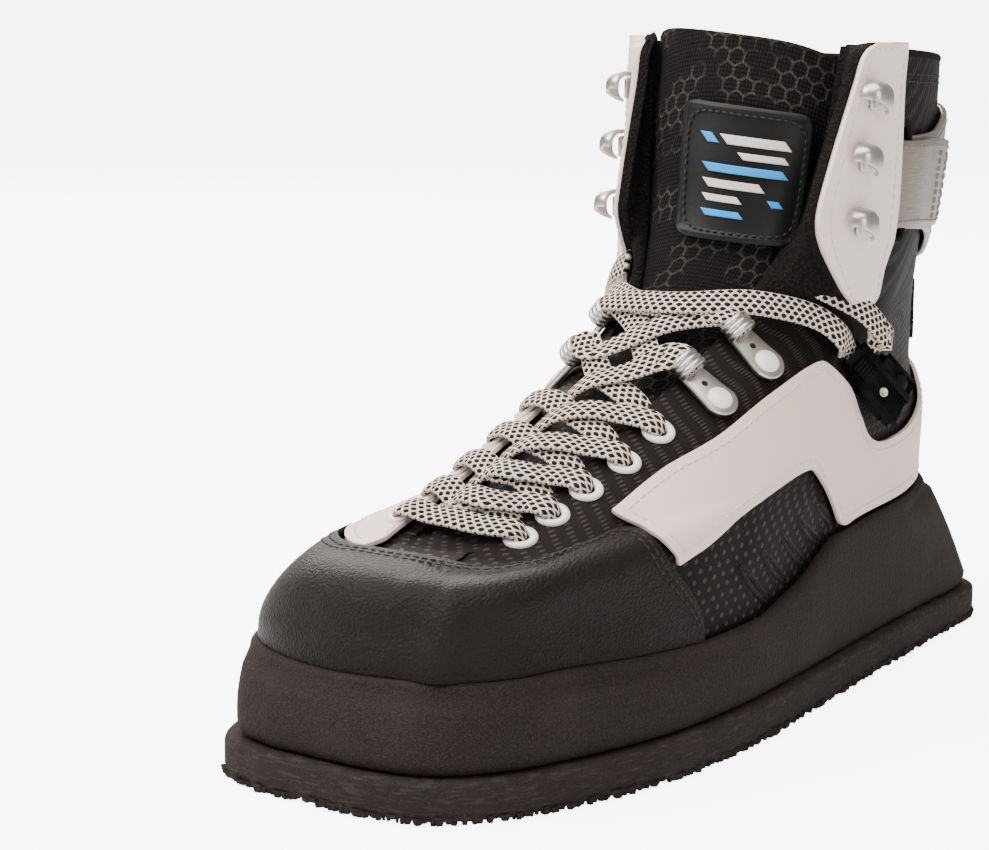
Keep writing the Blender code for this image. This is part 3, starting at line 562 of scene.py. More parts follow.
def refine(spots, rows, columns):
    """The same grid of values with more rows and columns, smoothly."""
    spots = np.asarray(spots, float)
    spots = spline(spots, np.linspace(0, len(spots) - 1, rows))
    turned = np.swapaxes(spots, 0, 1)
    return np.swapaxes(spline(turned, np.linspace(0, len(turned) - 1, columns)), 0, 1)


def lengths(points, axis):
    """Distance run along one axis of a grid of points."""
    steps = np.linalg.norm(np.diff(points, axis=axis), axis=-1)
    return np.concatenate([np.zeros_like(np.take(steps, [0], axis)), np.cumsum(steps, axis=axis)], axis=axis)


def grid_mesh(points, facing=None, chart=None):
    """Mesh of a plain grid moved onto points in millimetres, with UVs in metres; facing shows its outside."""
    points = np.asarray(points, float)
    rows, columns = points.shape[:2]
    bm = bmesh.new()
    bmesh.ops.create_grid(bm, x_segments=columns - 1, y_segments=rows - 1, size=1)
    mesh = bpy.data.meshes.new("grid")
    bm.to_mesh(mesh)
    bm.free()
    plain_grid = np.empty(len(mesh.vertices) * 3)
    mesh.vertices.foreach_get("co", plain_grid)
    x, y, _ = plain_grid.reshape(-1, 3).T
    i = np.rint((x + 1) / 2 * (columns - 1)).astype(int)
    j = np.rint((y + 1) / 2 * (rows - 1)).astype(int)
    mesh.vertices.foreach_set("co", (points[j, i] * MM).ravel())
    if chart is None:
        chart = np.stack([lengths(points, 1), lengths(points, 0)], axis=-1)
    corner = np.empty(len(mesh.loops), int)
    mesh.loops.foreach_get("vertex_index", corner)
    layer = mesh.uv_layers.new(name="along")
    layer.data.foreach_set("uv", (chart[j, i][corner] * MM).ravel())
    mesh.update()
    if facing is not None:
        m, n = rows // 2, columns // 2
        turn = np.cross(points[m, n] - points[m, n - 1], points[m, n] - points[m - 1, n])
        if np.dot(turn, facing) < 0:
            mesh.flip_normals()
    return mesh


def welded(*meshes, fill=False):
    """Meshes joined where they touch; fill closes the holes."""
    bm = bmesh.new()
    for mesh in meshes:
        bm.from_mesh(mesh)
    bmesh.ops.remove_doubles(bm, verts=bm.verts, dist=0.01 * MM)
    if fill:
        bmesh.ops.holes_fill(bm, edges=[e for e in bm.edges if e.is_boundary])
    bmesh.ops.recalc_face_normals(bm, faces=bm.faces)
    return settled(bm)


def settled(bm):
    mesh = bpy.data.meshes.new("shape")
    bm.to_mesh(mesh)
    bm.free()
    return mesh


def show(name, mesh, paint, nodes=(), smooth=True):
    """A piece of the shoe in place, standing for CAD nodes."""
    thing = bpy.data.objects.new(name, mesh)
    mesh.name = name
    bpy.context.scene.collection.objects.link(thing)
    mesh.materials.clear()
    mesh.materials.append(paint)
    if smooth:
        mesh.shade_smooth()
    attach(thing, "root")
    if nodes:
        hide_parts(*nodes)
    return thing


def thicken(thing, thick, rim=0.4, segments=2):
    """Gives a sheet its thickness inwards and a rounded cut edge."""
    solid = thing.modifiers.new("thickness", "SOLIDIFY")
    solid.thickness = thick * MM
    solid.offset = -1
    edge = thing.modifiers.new("edge", "BEVEL")
    edge.width = rim * MM
    edge.segments = segments
    edge.limit_method = "ANGLE"
    edge.angle_limit = math.radians(55)
    edge.harden_normals = False
    return thing


def skin(name, spots, lift, thick, paint, nodes=(), rim=0.4, relief=0.0, segments=2):
    """Layer over the last, from lift to lift + thick; spots is its grid of parameters."""
    u, v = spots[..., 0], spots[..., 1]
    points = lifted(u, v, lift + thick + np.zeros(u.shape) + relief)
    m, n = u.shape[0] // 2, u.shape[1] // 2
    mesh = grid_mesh(points, outward(u[m, n], v[m, n]))
    return thicken(show(name, mesh, paint, nodes), thick, rim, segments)


THREADS = {"pale": [], "grey": [], "dark": []}


def stitch(thread, points, normals, pitch=3.0, skip=0.0):
    """Notes a row of stitches along a path of points in millimetres."""
    run = lengths(points[None], 1)[0]
    count = max(int((run[-1] - 2 * skip) / pitch), 1)
    for k in range(count):
        start, end = (skip + pitch * (k + share) for share in (0.12, 0.88))
        a, b, n = (np.array([np.interp(at, run, line[:, axis]) for axis in range(3)])
                   for at, line in ((start, points), (end, points), (start, normals)))
        THREADS[thread].append((a, b, n))


def inside(spots, lift, distance, top=False):
    """Path a distance inside a grid's first (or last) row, with its normals."""
    if top:
        spots = spots[::-1]
    run = lengths(lifted(spots[..., 0], spots[..., 1], lift), 0)
    line = [[np.interp(distance, run[:, k], spots[:, k, c]) for c in (0, 1)] for k in range(spots.shape[1])]
    u, v = np.array(line).T
    return lifted(u, v, lift), outward(u, v)


def across(spots):
    """The same grid with its rows and columns exchanged."""
    return np.swapaxes(spots, 0, 1)


def repeated(name, shape, frames, paint, smooth=True):
    """One mesh of many copies of a small shape; frames are 3x4 arrays in millimetres."""
    base = np.array([v.co for v in shape.verts])
    faces = [[v.index for v in face.verts] for face in shape.faces]
    shape.free()
    frames = np.array(frames)
    points = np.einsum("nij,kj->nki", frames[:, :, :3], base) + frames[:, None, :, 3]
    mesh = bpy.data.meshes.new(name)
    count = len(base)
    copies = [[k * count + i for i in face] for k in range(len(frames)) for face in faces]
    mesh.from_pydata((points.reshape(-1, 3) * MM).tolist(), [], copies)
    return show(name, mesh, paint, smooth=smooth)


def sew():
    """Every stitch noted so far, as one joined mesh for each thread."""
    for thread, paint, slot in (("pale", PALE_THREAD, "white_leather"), ("grey", GREY_THREAD, "silver_strap"),
                                ("dark", DARK_THREAD, "black_leather")):
        bead = bmesh.new()
        bmesh.ops.create_uvsphere(bead, u_segments=6, v_segments=4, radius=0.5)
        frames = []
        for a, b, n in THREADS[thread]:
            run = b - a
            side = unit(np.cross(n, run))
            frames.append(np.stack([side * 0.75, n * 0.6, run, (a + b) / 2 + n * 0.05], axis=1))
        repeated("stitches_" + thread, bead, frames, paint)


def plan_ring(inset, count=420):
    """Sole outline drawn in by inset, evenly spaced from the heel round by the outer side."""
    rows = spline(SOLE_PLAN, np.linspace(0, len(SOLE_PLAN) - 1, 160))
    y, lateral, medial = rows.T
    reach = max((row[1] + row[2]) / 2 for row in SOLE_PLAN)
    middle, half = (lateral - medial) / 2, (lateral + medial) / 2 * (1 - inset / reach)
    y = y * (1 - inset / SOLE_PLAN[-1][0])
    outer = np.stack([middle + half, y], axis=1)
    inner = np.stack([middle - half, y], axis=1)
    return even(np.concatenate([outer[::-1], inner]), count)


def even(ring, count):
    """Closed outline resampled at even steps from the middle of its closing edge."""
    start = (ring[0] + ring[-1]) / 2
    loop = np.concatenate([[start], ring, [start]])
    run = lengths(loop[None], 1)[0]
    at = np.linspace(0, run[-1], count + 1)
    return np.stack([np.interp(at, run, loop[:, k]) for k in (0, 1)], axis=1)


def last_ring(drop, lift, count=420):
    """Outline of the last a drop below the rim, moved out by lift, paired with plan_ring."""
    girths = np.concatenate([np.linspace(BACK - 0.01, 0.01, 200), np.linspace(-0.01, 0.01 - BACK, 200)])
    levels = np.linspace(0, 2.5, 120)
    u, v = np.meshgrid(girths, levels, indexing="ij")
    points = last(u, v)
    over = points[..., 2] - (along(RIM, points[..., 1]) - drop)
    level = np.array([np.interp(0, over[k], levels) for k in range(len(girths))])
    return even(lifted(girths, level, lift)[:, :2], count)


def stacked(name, rings, paint, nodes):
    """Piece from outlines with heights, closed at both ends."""
    points = np.array([np.column_stack([ring, height]) for ring, height in rings])
    return show(name, welded(grid_mesh(points), fill=True), paint, nodes)


def flat(ring, z):
    return ring, np.full(len(ring), float(z))


def rimmed(ring, drop):
    return ring, along(RIM, ring[:, 1]) - drop


def build_sole():
    """Outsole with its crumb tread, sponge midsole and insole."""
    top = OUTSOLE_HIGH
    sides = ((6, 1.3), (0.9, 1.3), (0.2, 1.9), (0, 3.5),
             (0, top - 1.6), (0.25, top - 0.6), (0.9, top), (7, top))
    stacked("outsole", [flat(plan_ring(inset), z) for inset, z in sides], OUTSOLE, ["outsole"])
    tread()
    foot = OUTSOLE_HIGH + GAP
    lower, upper = plan_ring(SOLE_LEDGE), last_ring(0, LIP_WIDE + 1.2)
    rows = [flat(plan_ring(SOLE_LEDGE + inset), foot + rise)
            for inset, rise in ((6, 0), (2.2, 0), (0.9, 0.7), (0.2, 2.4))]
    lean = along(LEAN, lower[:, 1])[:, None]
    bulge = unit(lower - lower.mean(axis=0)) * 0.7
    for share in np.linspace(0, 1, 7):
        ring = lower + (upper - lower) * lean * share + bulge * math.sin(math.pi * share)
        rows.append((ring, (foot + 4) + (along(RIM, ring[:, 1]) - 5 - foot - 4) * share))
    for drop, lift in ((3.2, 0.9), (1.4, 0.55), (0.5, 0.0), (0.05, -0.9), (0.0, -1.8)):
        rows.append(rimmed(last_ring(0, LIP_WIDE + lift), drop))
    rows += [rimmed(last_ring(0, 1.3), 0.15), rimmed(last_ring(0, 1.1), 1.0),
             rimmed(last_ring(CUP_DEEP, 1.1), CUP_DEEP), rimmed(last_ring(CUP_DEEP, -8), CUP_DEEP)]
    stacked("midsole", rows, MIDSOLE, ["midsole"])
    bed = last_ring(1, -WALL - 1.2)
    layers = [rimmed(bed, 6.7), rimmed(bed, 3.2), rimmed(last_ring(1, -WALL - 2.2), 2.7)]
    stacked("insole", layers, LINING, ["insole"])


def tread():
    """Ragged rubber crumbs along the lower edge and all over the underside."""
    edge = plan_ring(0.9, 560)
    spots = [(x, y, 1.0) for x, y in edge[:-1]]
    while len(spots) < 2300:
        y = SEED.uniform(-146, 146)
        outer, inner = along(SOLE_PLAN, y, 1), along(SOLE_PLAN, y, 2)
        spots.append((SEED.uniform(3 - inner, outer - 3), y, 0.0))
    crumb = bmesh.new()
    bmesh.ops.create_cube(crumb, size=1)
    for vert in crumb.verts:
        if vert.co.z < 0:
            vert.co.x *= 0.6
            vert.co.y *= 0.6
    frames = []
    for x, y, rim in spots:
        size = SEED.uniform(1.0, 2.9)
        low, high = SEED.choice((0.0, 0.1, 0.4, 1.0)), SEED.uniform(1.6, 2.8)
        turn = SEED.uniform(0, math.pi)
        c, s = math.cos(turn) * size, math.sin(turn) * size
        jog = SEED.uniform(-0.5, 0.35) * rim
        x, y = np.array([x, y]) + unit(np.array([x, y * 0.35]) + 1e-9) * jog
        tall = high - low
        frames.append([[c, -s, 0, x], [s, c, 0, y], [0, 0, tall, low + tall / 2]])
    repeated("tread_crumbs", crumb, frames, OUTSOLE, smooth=False)


def creased(points, side):
    """Depth of the listed creases at each point."""
    depth = np.zeros(points.shape[:-1])
    flank = np.clip(side * points[..., 0] / 15, 0, 1)
    for y0, z0, y1, z1, deep, half in CREASES:
        run = np.array([y1 - y0, z1 - z0], float)
        size = np.linalg.norm(run)
        run /= size
        off = points[..., 1:] - np.array([y0, z0])
        t = np.clip(off @ run / size, 0, 1)
        aside = off @ np.array([-run[1], run[0]]) + 4 * np.sin(math.pi * t)
        depth += deep * np.exp(-(aside / half) ** 2) * np.sin(math.pi * t) ** 0.7 * flank
    return depth


def build_upper():
    """The hollow leather wall, its collar roll and the slits of its lower insert."""
    low = np.linspace(0, THROAT_LOOP, 34)
    high = np.linspace(THROAT_LOOP, TOP_LOOP, 76)[1:]
    levels = np.concatenate([low, high])
    around = np.linspace(-1, 1, 261)
    edges = np.array([throat_edge(max(v, THROAT_LOOP)) for v in levels])
    u = edges[:, None] + (BACK - edges[:, None]) * (1 - np.abs(around))
    u = np.where(around > 0, 2 * BACK - u, u)
    v = np.broadcast_to(levels[:, None], u.shape)
    body = last(u, v)
    dent = np.maximum(creased(body, 1), creased(body, -1))
    heel = (len(levels) // 2, len(around) // 2)
    main = grid_mesh(lifted(u, v, -dent), outward(u[heel], v[heel]))
    front_u = -edges[:len(low), None] * np.linspace(-1, 1, 25)
    front_v = np.broadcast_to(low[:, None], front_u.shape)
    vamp = grid_mesh(lifted(front_u, front_v), outward(0.01, THROAT_LOOP / 2))
    upper = show("upper", welded(main, vamp), LEATHER, ["upper"])
    outward_test(upper, (1, 0, 0))
    thicken(upper, WALL, 0.5)
    top_u = u[-1]
    rim = lifted(top_u, np.full(top_u.shape, TOP_LOOP - 0.02), -1.2)
    rim[:, 2] -= 0.2
    tube("collar_roll", rim, 1.5, LINING)
    unsewn = 12
    line = top_u[unsewn:-unsewn]
    for inset in (0.24, 0.32):
        level = np.full(len(line), TOP_LOOP - inset)
        stitch("dark", lifted(line, level), outward(line, level), 3.2)
    for name, side in SIDES:
        shapes = [slit(on_side(y0, z0, side), on_side(y1, z1, side)) for y0, z0, y1, z1 in SLITS]
        show("slits_" + name, welded(*shapes), TOE_LEATHER)


def outward_test(thing, way):
    """Turns a sheet's faces out where its outermost face along a way looks in."""
    mesh = thing.data
    face = max(mesh.polygons, key=lambda p: Vector(way).dot(p.center))
    if Vector(way).dot(face.normal) < 0:
        mesh.flip_normals()


def slit(start, end):
    """Raised lips with a groove between them, along the last."""
    profile = ((-2.6, -0.6), (-2.0, 0.5), (-1.1, 0.75), (-0.5, 0.3), (0, -0.4),
               (0.5, 0.3), (1.1, 0.75), (2.0, 0.5), (2.6, -0.6))
    t = np.linspace(0, 1, 21)
    u, v = (a + (b - a) * t for a, b in zip(start, end))
    middle, normal = lifted(u, v), outward(u, v)
    aside = np.cross(unit(np.gradient(middle, axis=0)), normal)
    taper = np.sqrt(np.clip(np.sin(math.pi * (0.04 + 0.92 * t)), 0, 1))[:, None]
    rows = [middle + aside * (off * taper) + normal * (high * taper - 0.1) for off, high in profile]
    return grid_mesh(np.array(rows), normal[len(t) // 2])


def ringed(path, a, b, radius, around):
    """Circles of points round a path, in the planes of a and b."""
    turn = np.linspace(0, 2 * math.pi, around + 1)[:, None]
    return path[:, None] + radius * (a[:, None] * np.cos(turn) + b[:, None] * np.sin(turn))


def tube(name, path, radius, paint, nodes=(), closed=False, around=10):
    """Round cord through points in millimetres."""
    path = np.asarray(path, float)
    if closed:
        run = unit(np.roll(path, -1, axis=0) - np.roll(path, 1, axis=0))
    else:
        run = unit(np.gradient(path, axis=0))
    guide = np.array([0.3, 0.2, 1.0]) if abs(run[:, 2]).mean() < 0.6 else np.array([1.0, 0.2, 0.1])
    a = unit(np.cross(run, guide))
    ring = ringed(path, a, np.cross(run, a), radius, around)
    if closed:
        ring = np.concatenate([ring, ring[:1]])
    return show(name, welded(grid_mesh(ring), fill=not closed), paint, nodes)


def between(row, t, side):
    return on_side(row[0] + (row[2] - row[0]) * t, row[1] + (row[3] - row[1]) * t, side)


def round_heel(rows, heel, steps, facing=(), join=0):
    """Grid of parameters from the outer side round the heel to the inner side, where facing rows end it."""
    grid = []
    for t in steps:
        outer = [between(row, t, 1) for row in rows]
        inner = [near(-1, np.array(row[:3]) * (1 - t) + np.array(row[3:]) * t) for row in facing]
        inner += [between(row, t, -1) for row in rows[join:]]
        middle = (BACK, at_height(BACK, heel[0] + (heel[1] - heel[0]) * t))
        grid.append(outer + [middle] + [(2 * BACK + u, v) for u, v in inner[::-1]])
    return np.array(grid)


def toe_ridge(points):
    """Height of the soft ridges that make the toe boxy, less the flats between them."""
    high = np.zeros(points.shape[:-1])
    for start, end, rise, half in TOE_RIDGES:
        high = np.maximum(high, rise * np.exp(-(from_line(points, start, end) / half) ** 2))
    for start, end, deep, half in TOE_FLATS:
        high = high - deep * np.exp(-(from_line(points, start, end) / half) ** 2)
    return high


def from_line(points, start, end):
    """Distance of points from a straight piece of line."""
    a, b = np.array(start, float), np.array(end, float)
    t = np.clip((points - a) @ (b - a) / np.dot(b - a, b - a), 0, 1)
    return np.linalg.norm(points - a - t[..., None] * (b - a), axis=-1)


def build_overlays():
    """Toe cap, quarter panel, heel insert and pull loop with their seams."""
    middle = (0.0, find(1, [3, 1], (0, CAP_MIDDLE))[1])
    tops = [near(1, row) for row in CAP_EDGE[1]][::-1] + [middle] + [near(-1, row) for row in CAP_EDGE[-1]]
    tops = refine(np.array([tops, tops]), 2, 150)[0]
    feet = np.array([(u, at_height(u, along(RIM, last(u, 0.6)[1]) + 0.3)) for u in tops[:, 0]])
    share = np.linspace(0, 1, 40)[:, None, None]
    cap = feet[None] * (1 - share) + tops[None] * share
    ridge = toe_ridge(lifted(cap[..., 0], cap[..., 1]))
    skin("toe_cap", cap, SEAT + GAP, LAYER, TOE_LEATHER, ["toe_cap"], 0.6, ridge)
    for distance in (2.6, 5.0):
        stitch("dark", *inside(cap, SEAT + GAP + LAYER, distance, top=True), 2.8, 2)
    panel = refine(round_heel(PANEL, PANEL_HEEL, (0, 0.33, 0.67, 1), PANEL_FACING, PANEL_JOIN), 28, 320)
    skin("quarter_panel", panel, SEAT, LAYER, WHITE, ["quarter_panel"], 0.45)
    top = SEAT + LAYER
    stitch("pale", *inside(panel, top, 3.0, top=True), 3.0, 3)
    stitch("pale", *inside(panel, top, 3.0), 3.0, 3)
    stitch("pale", *inside(across(panel), top, 3.0), 3.0, 2)
    insert = refine(round_heel(INSERT, INSERT_HEEL, (0, 0.5, 1)), 14, 40)
    skin("heel_insert", insert, SEAT - 0.6, LAYER + 0.6, TONGUE, ["heel_insert"], 0.5)
    border = np.concatenate([insert[0], insert[1:-1, -1], insert[-1][::-1], insert[1:-1, 0][::-1]])
    piping = lifted(border[:, 0], border[:, 1], SEAT + LAYER - 0.6)
    tube("insert_piping", piping, 0.8, LEATHER, closed=True, around=8)
    heights = np.linspace(90, 111, 15)
    turns = BACK + np.linspace(-0.3, 0.3, 13)
    tab = np.array([[(turn, at_height(turn, z)) for turn in turns] for z in heights])
    swell = np.sin(np.linspace(0, math.pi, len(heights)))[:, None] * 1.6
    skin("pull_loop", tab, SEAT + LAYER + GAP, 1.6, PALE, ["pull_loop"], 0.5, swell)


def build_tongue():
    """Padded tongue and its leather foot."""
    levels = np.linspace(THROAT_LOOP - 0.1, TOP_LOOP + 0.1, 90)
    shares = np.linspace(1, -1, 61)
    sag = 0.14 * shares + 0.3 * abs(shares) ** 3
    grid = []
    for v in levels:
        reach = 1.2 * throat_edge(min(max(v, THROAT_LOOP), TOP_LOOP)) + 0.12
        rise = np.interp(v, (7.5, TOP_LOOP), (0, 1))
        grid.append(np.column_stack([reach * shares, v - rise * sag]))
    puff = 1.0 * np.cos(shares * math.pi / 2)[None, :] * np.interp(levels, (6.2, 7.2), (0, 1))[:, None]
    folds = 0.35 * np.sin(levels * 7)[:, None] * np.interp(levels, (6.6, 7), (0, 1))[:, None]
    under = -(WALL + 3 * GAP + TONGUE_THICK)
    tongue = skin("tongue", np.array(grid), under, TONGUE_THICK, TONGUE, ["tongue"], 2.2,
                  puff * 0.6 + folds * 0.6 - 0.2, 4)
    levels = np.linspace(2.55, 5.3, 60)
    foot = []
    for v in levels:
        reach = throat_edge(max(v, THROAT_LOOP)) * (1.05 if v > THROAT_LOOP else 0.98)
        foot.append([(reach * share, v) for share in np.linspace(1, -1, 41)])
    rise = np.interp(levels, (2.55, 2.95, 3.25, 5.3), (0.5, 0.4, -2.3, -2.7))[:, None]
    skin("tongue_foot", np.array(foot), 0.0, 0.5, LEATHER, (), 0.2, rise)


def build_badge():
    """Rubber badge with a raised border, a stitched line and slanted bars."""
    s, t = np.meshgrid(np.linspace(-1, 1, 61), np.linspace(-1, 1, 61))
    corner = 0.22
    reach = 1 - corner + np.sqrt(np.maximum(corner ** 2 - np.maximum(np.abs(t) - (1 - corner), 0) ** 2, 0))
    s = s * reach
    depth = np.minimum(reach - np.abs(s), 1 - np.abs(t))
    border = 0.7 * np.clip(1 - np.abs(depth - 0.07) / 0.05, 0, 1) ** 0.6
    lift = 0.6 - (WALL + GAP)
    skin("tongue_badge", badge_spot(s, t), lift, 2.0, BADGE_RUBBER, ["tongue_badge"], 0.5,
         border)
    turn = np.linspace(0, 2 * math.pi, 160)
    c, d = np.cos(turn), np.sin(turn)
    ring = 0.87 / (np.abs(c) ** 7 + np.abs(d) ** 7) ** (1 / 7)
    u, v = np.moveaxis(badge_spot(c * ring, d * ring), -1, 0)
    stitch("dark", lifted(u, v, lift + 2.5), outward(u, v), 2.4)
    bars = {"blue": [], "grey": []}
    for colour, left, right, low, high in BADGE_BARS:
        a, b = np.meshgrid(np.linspace(left, right, 13), np.linspace(low, high, 5))
        slant = a + (b - (low + high) / 2) * 0.9
        u, v = np.moveaxis(badge_spot(slant, b), -1, 0)
        bars[colour].append(grid_mesh(lifted(u, v, lift + 2.65), outward(0.6, 7.7)))
    for colour, paint in (("blue", BLUE), ("grey", GREY)):
        thing = show("badge_bars_" + colour, welded(*bars[colour]), paint)
        outward_test(thing, (0, -1, 0.3))
        thicken(thing, 0.9, 0.25)


def badge_spot(s, t):
    """Parameters on the tongue of a point of the badge, which sits a little askew."""
    (left, right), (low, high) = BADGE
    u = (left + right) / 2 - s * (right - left) / 2 - 0.06 * t
    v = (low + high) / 2 + t * (high - low) / 2 + 0.07 * s
    return np.stack([u, v], axis=-1)


def build_strap():
    """Heel strap, its returned ends through the wire rings, and the hook tape under them."""
    strap = refine(round_heel(STRAP, STRAP_HEEL, (0, 0.33, 0.67, 1)), 16, 160)
    skin("heel_strap", strap, SEAT, STRAP_THICK, SILVER, ["heel_strap"], 0.5)
    over = SEAT + STRAP_THICK
    for top in (False, True):
        stitch("grey", *inside(strap, over, 2.6, top), 3.0, 3)
    y0, y1, z0, z1 = RING_BOX
    near_y, far_y, low_z, high_z = y0 + RING_CUT, y1 - RING_CUT, z0 + RING_CUT, z1 - RING_CUT
    corners = np.array([(y0, low_z), (y0, high_z), (near_y, z1), (far_y, z1), (y1, high_z), (y1, low_z),
                        (far_y, z0), (near_y, z0), (y0, low_z)], float)
    rows, fold, seams = 14, 40, (46, 48, 58, 60)
    pick = np.arange(rows)
    for name, side in SIDES:
        shares = [[(*between(row, t, side), row[4]) for row in STRAP_RETURN] for t in (0, 0.5, 1)]
        u, v, lift = np.moveaxis(refine(shares, rows, 110), -1, 0)
        points = lifted(u, v, lift + 1.0)
        end = show("strap_end_" + name, grid_mesh(points), SILVER, ["strap_end_" + name])
        outward_test(end, (side, 0, 0))
        thicken(end, 1.6, 0.4)
        normal = outward(u, v)[:, fold:]
        face = points[:, fold:] + normal * 0.1
        for k in (1, -2):
            stitch("grey", face[k], normal[k], 3.0, 2)
        stitch("grey", face[:, -5], normal[:, -5], 3.0, 2)
        for column in seams:
            slant = np.clip((column + pick * 0.35).astype(int), 0, face.shape[1] - 1)
            stitch("grey", face[pick, slant], normal[pick, slant], 2.6, 2)
        tape = refine([[between(row, t, side) for row in TAPE] for t in (0, 0.5, 1)], rows, 10)
        skin("hook_tape_" + name, tape, over + GAP, 0.8, LINING, ["hook_tape_" + name], 0.3)
        stitch("pale", *inside(across(tape), over + GAP + 0.9, 2.2, top=True), 2.6, 2)
        loop = spline(corners, np.linspace(0, len(corners) - 1, 65)[:-1])
        ring = [lifted(*on_side(y, z, side), over + 1.5) for y, z in loop]
        tube("strap_ring_" + name, ring, 1.2, PLASTIC, ["strap_ring_" + name], closed=True)


def flap_reach(z, y, side):
    """How far out the flap stands."""
    front, rear, front_x, rear_x = (along(FLAP, z, column) for column in (1, 2, 3, 4))
    front = rear - (rear - front) * FLAP_BACK[side]
    return np.interp(y, (front, rear), (front_x - FLAP_TURN[side], rear_x))


def build_flaps():
    """Lace flaps: pale leather over a thicker black padding, with three hooks each."""
    rows = spline(FLAP, np.linspace(0, len(FLAP) - 1, 50))
    for name, side in SIDES:
        grid = []
        for z, front, rear, _, _ in rows:
            front = rear - (rear - front) * FLAP_BACK[side]
            line = []
            for t in np.linspace(0, 1, 23):
                y = front + (rear - front) * t
                backed = abs(lifted(*on_side(y, z, side), SEAT)[0])
                line.append((max(flap_reach(z, y, side), backed + 2), y, z))
            grid.append(line)
        face = np.array(grid)
        face[..., 0] *= side
        way = np.array([float(side), -0.3, 0])
        pad = face.copy()
        pad[..., 0] -= side * PAD_BEHIND
        pad[:, 0, 1] -= PAD_AHEAD
        padding = show("flap_padding_" + name, grid_mesh(pad, way), LINING)
        thicken(padding, PAD_THICK, 1.0, 3)
        flap = show("hook_flap_" + name, grid_mesh(face, way), PALE, ["hook_flap_" + name])
        thicken(flap, FLAP_THICK, 0.5)
        for pick in ((3, slice(3, -3)), (-4, slice(3, -3)), (slice(3, -3), 3), (slice(3, -3), -3)):
            path = face[pick]
            stitch("pale", path, np.tile(unit(way), (len(path), 1)), 3.0)
        inner = []
        for x, y, z in pad[:, 1]:
            v = at_height(side * 2.0, z)
            start = np.array([x - side * 1.5, y, z])
            edge = side * (throat_edge(v) - 0.05)
            end = lifted(edge, v, 0.6)
            wrap = [lifted(edge - side * 0.07, v, -0.8), lifted(edge - side * 0.03, v, -2.8)]
            inner.append([start + (end - start) * t for t in np.linspace(0, 1, 12)] + wrap)
        bridge = show("flap_lining_" + name, grid_mesh(np.array(inner), -way), LINING)
        thicken(bridge, 1.6, 0.4)
        for number, (z, y) in enumerate(HOOKS, 1):
            y = y + INNER_HOOK_BACK if side < 0 else y
            at = np.array([flap_reach(z, y, side), y, z], float)
            hook("lace_hook_%s_%d" % (name, number), at, side)


def hook(name, at, side):
    """Riveted plate with a hood that rises from its front end and opens downwards and back."""
    x, y, z = at
    bm = bmesh.new()
    bmesh.ops.create_uvsphere(bm, u_segments=28, v_segments=20, radius=1)
    for vert in bm.verts:
        vert.co = [math.copysign(abs(c) ** 0.72, c) * size for c, size in zip(vert.co, HOOD)]
    for point, way in HOOD_CUTS:
        geom = bm.verts[:] + bm.edges[:] + bm.faces[:]
        bmesh.ops.bisect_plane(bm, geom=geom, plane_co=point, plane_no=way, clear_outer=True)
    bm.transform(Matrix.Translation((x, y - 1.0, z)))
    bm.transform(Matrix.Diagonal((side * MM, MM, MM, 1)))
    if side < 0:
        bmesh.ops.reverse_faces(bm, faces=bm.faces)
    hood = show(name, settled(bm), METAL, [name])
    thicken(hood, 1.2, 0.4)
    axes = ((0, 1, 0), (0, 0, 1), (1, 0, 0))
    plate = box_shape((side * (x + 0.7), y + 3.5, z), axes, (10, 6.5, 1.3), 0.6)
    head = ((2.6, 0), (2.6, 0.5), (2.1, 0.8), (0.01, 0.85))
    disc = round_shape((side * (x + 1.2), y + 5.2, z), (side, 0, 0), head)
    show(name + "_plate", welded(plate, disc), METAL)


def round_shape(at, way, profile, count=20):
    """Turned shape: a profile of radius and height spun about an axis."""
    bm = bmesh.new()
    verts = [bm.verts.new((radius, 0, height)) for radius, height in profile]
    edges = [bm.edges.new(pair) for pair in zip(verts, verts[1:])]
    bmesh.ops.spin(bm, geom=verts + edges, cent=(0, 0, 0), axis=(0, 0, 1), angle=2 * math.pi, steps=count,
                   use_merge=True)
    bmesh.ops.remove_doubles(bm, verts=bm.verts, dist=0.001)
    bmesh.ops.recalc_face_normals(bm, faces=bm.faces)
    quat = Vector(way).to_track_quat("Z", "Y").to_matrix().to_4x4()
    bm.transform(Matrix.Scale(MM, 4) @ Matrix.Translation(Vector(at)) @ quat)
    return settled(bm)


def box_shape(at, axes, sizes, round_off, segments=2):
    """Rounded block with its three axes and sizes in millimetres."""
    bm = bmesh.new()
    bmesh.ops.create_cube(bm, size=1)
    for vert in bm.verts:
        c = vert.co.copy()
        vert.co = Vector(at) + sum((Vector(axis) * c[k] * sizes[k] for k, axis in enumerate(axes)), Vector())
    return rounded(bm, round_off, segments)


def rounded(bm, round_off, segments):
    """A shape in millimetres with all its edges rounded, as a mesh in metres."""
    bmesh.ops.bevel(bm, geom=bm.edges[:], offset=round_off, segments=segments, profile=0.5, affect="EDGES",
                    material=-1)
    bm.transform(Matrix.Scale(MM, 4))
    return settled(bm)


def spot_frame(spot, lift):
    """A point over the last and its normal."""
    return lifted(*spot, lift), outward(*spot)


def facing_frame(side, off, y, lift):
    """The same on the facing, at a distance from the middle line."""
    return spot_frame(find(side, [3, 1], (side * off, y), THROAT_LOOP), lift)


RING_HEADS = {}


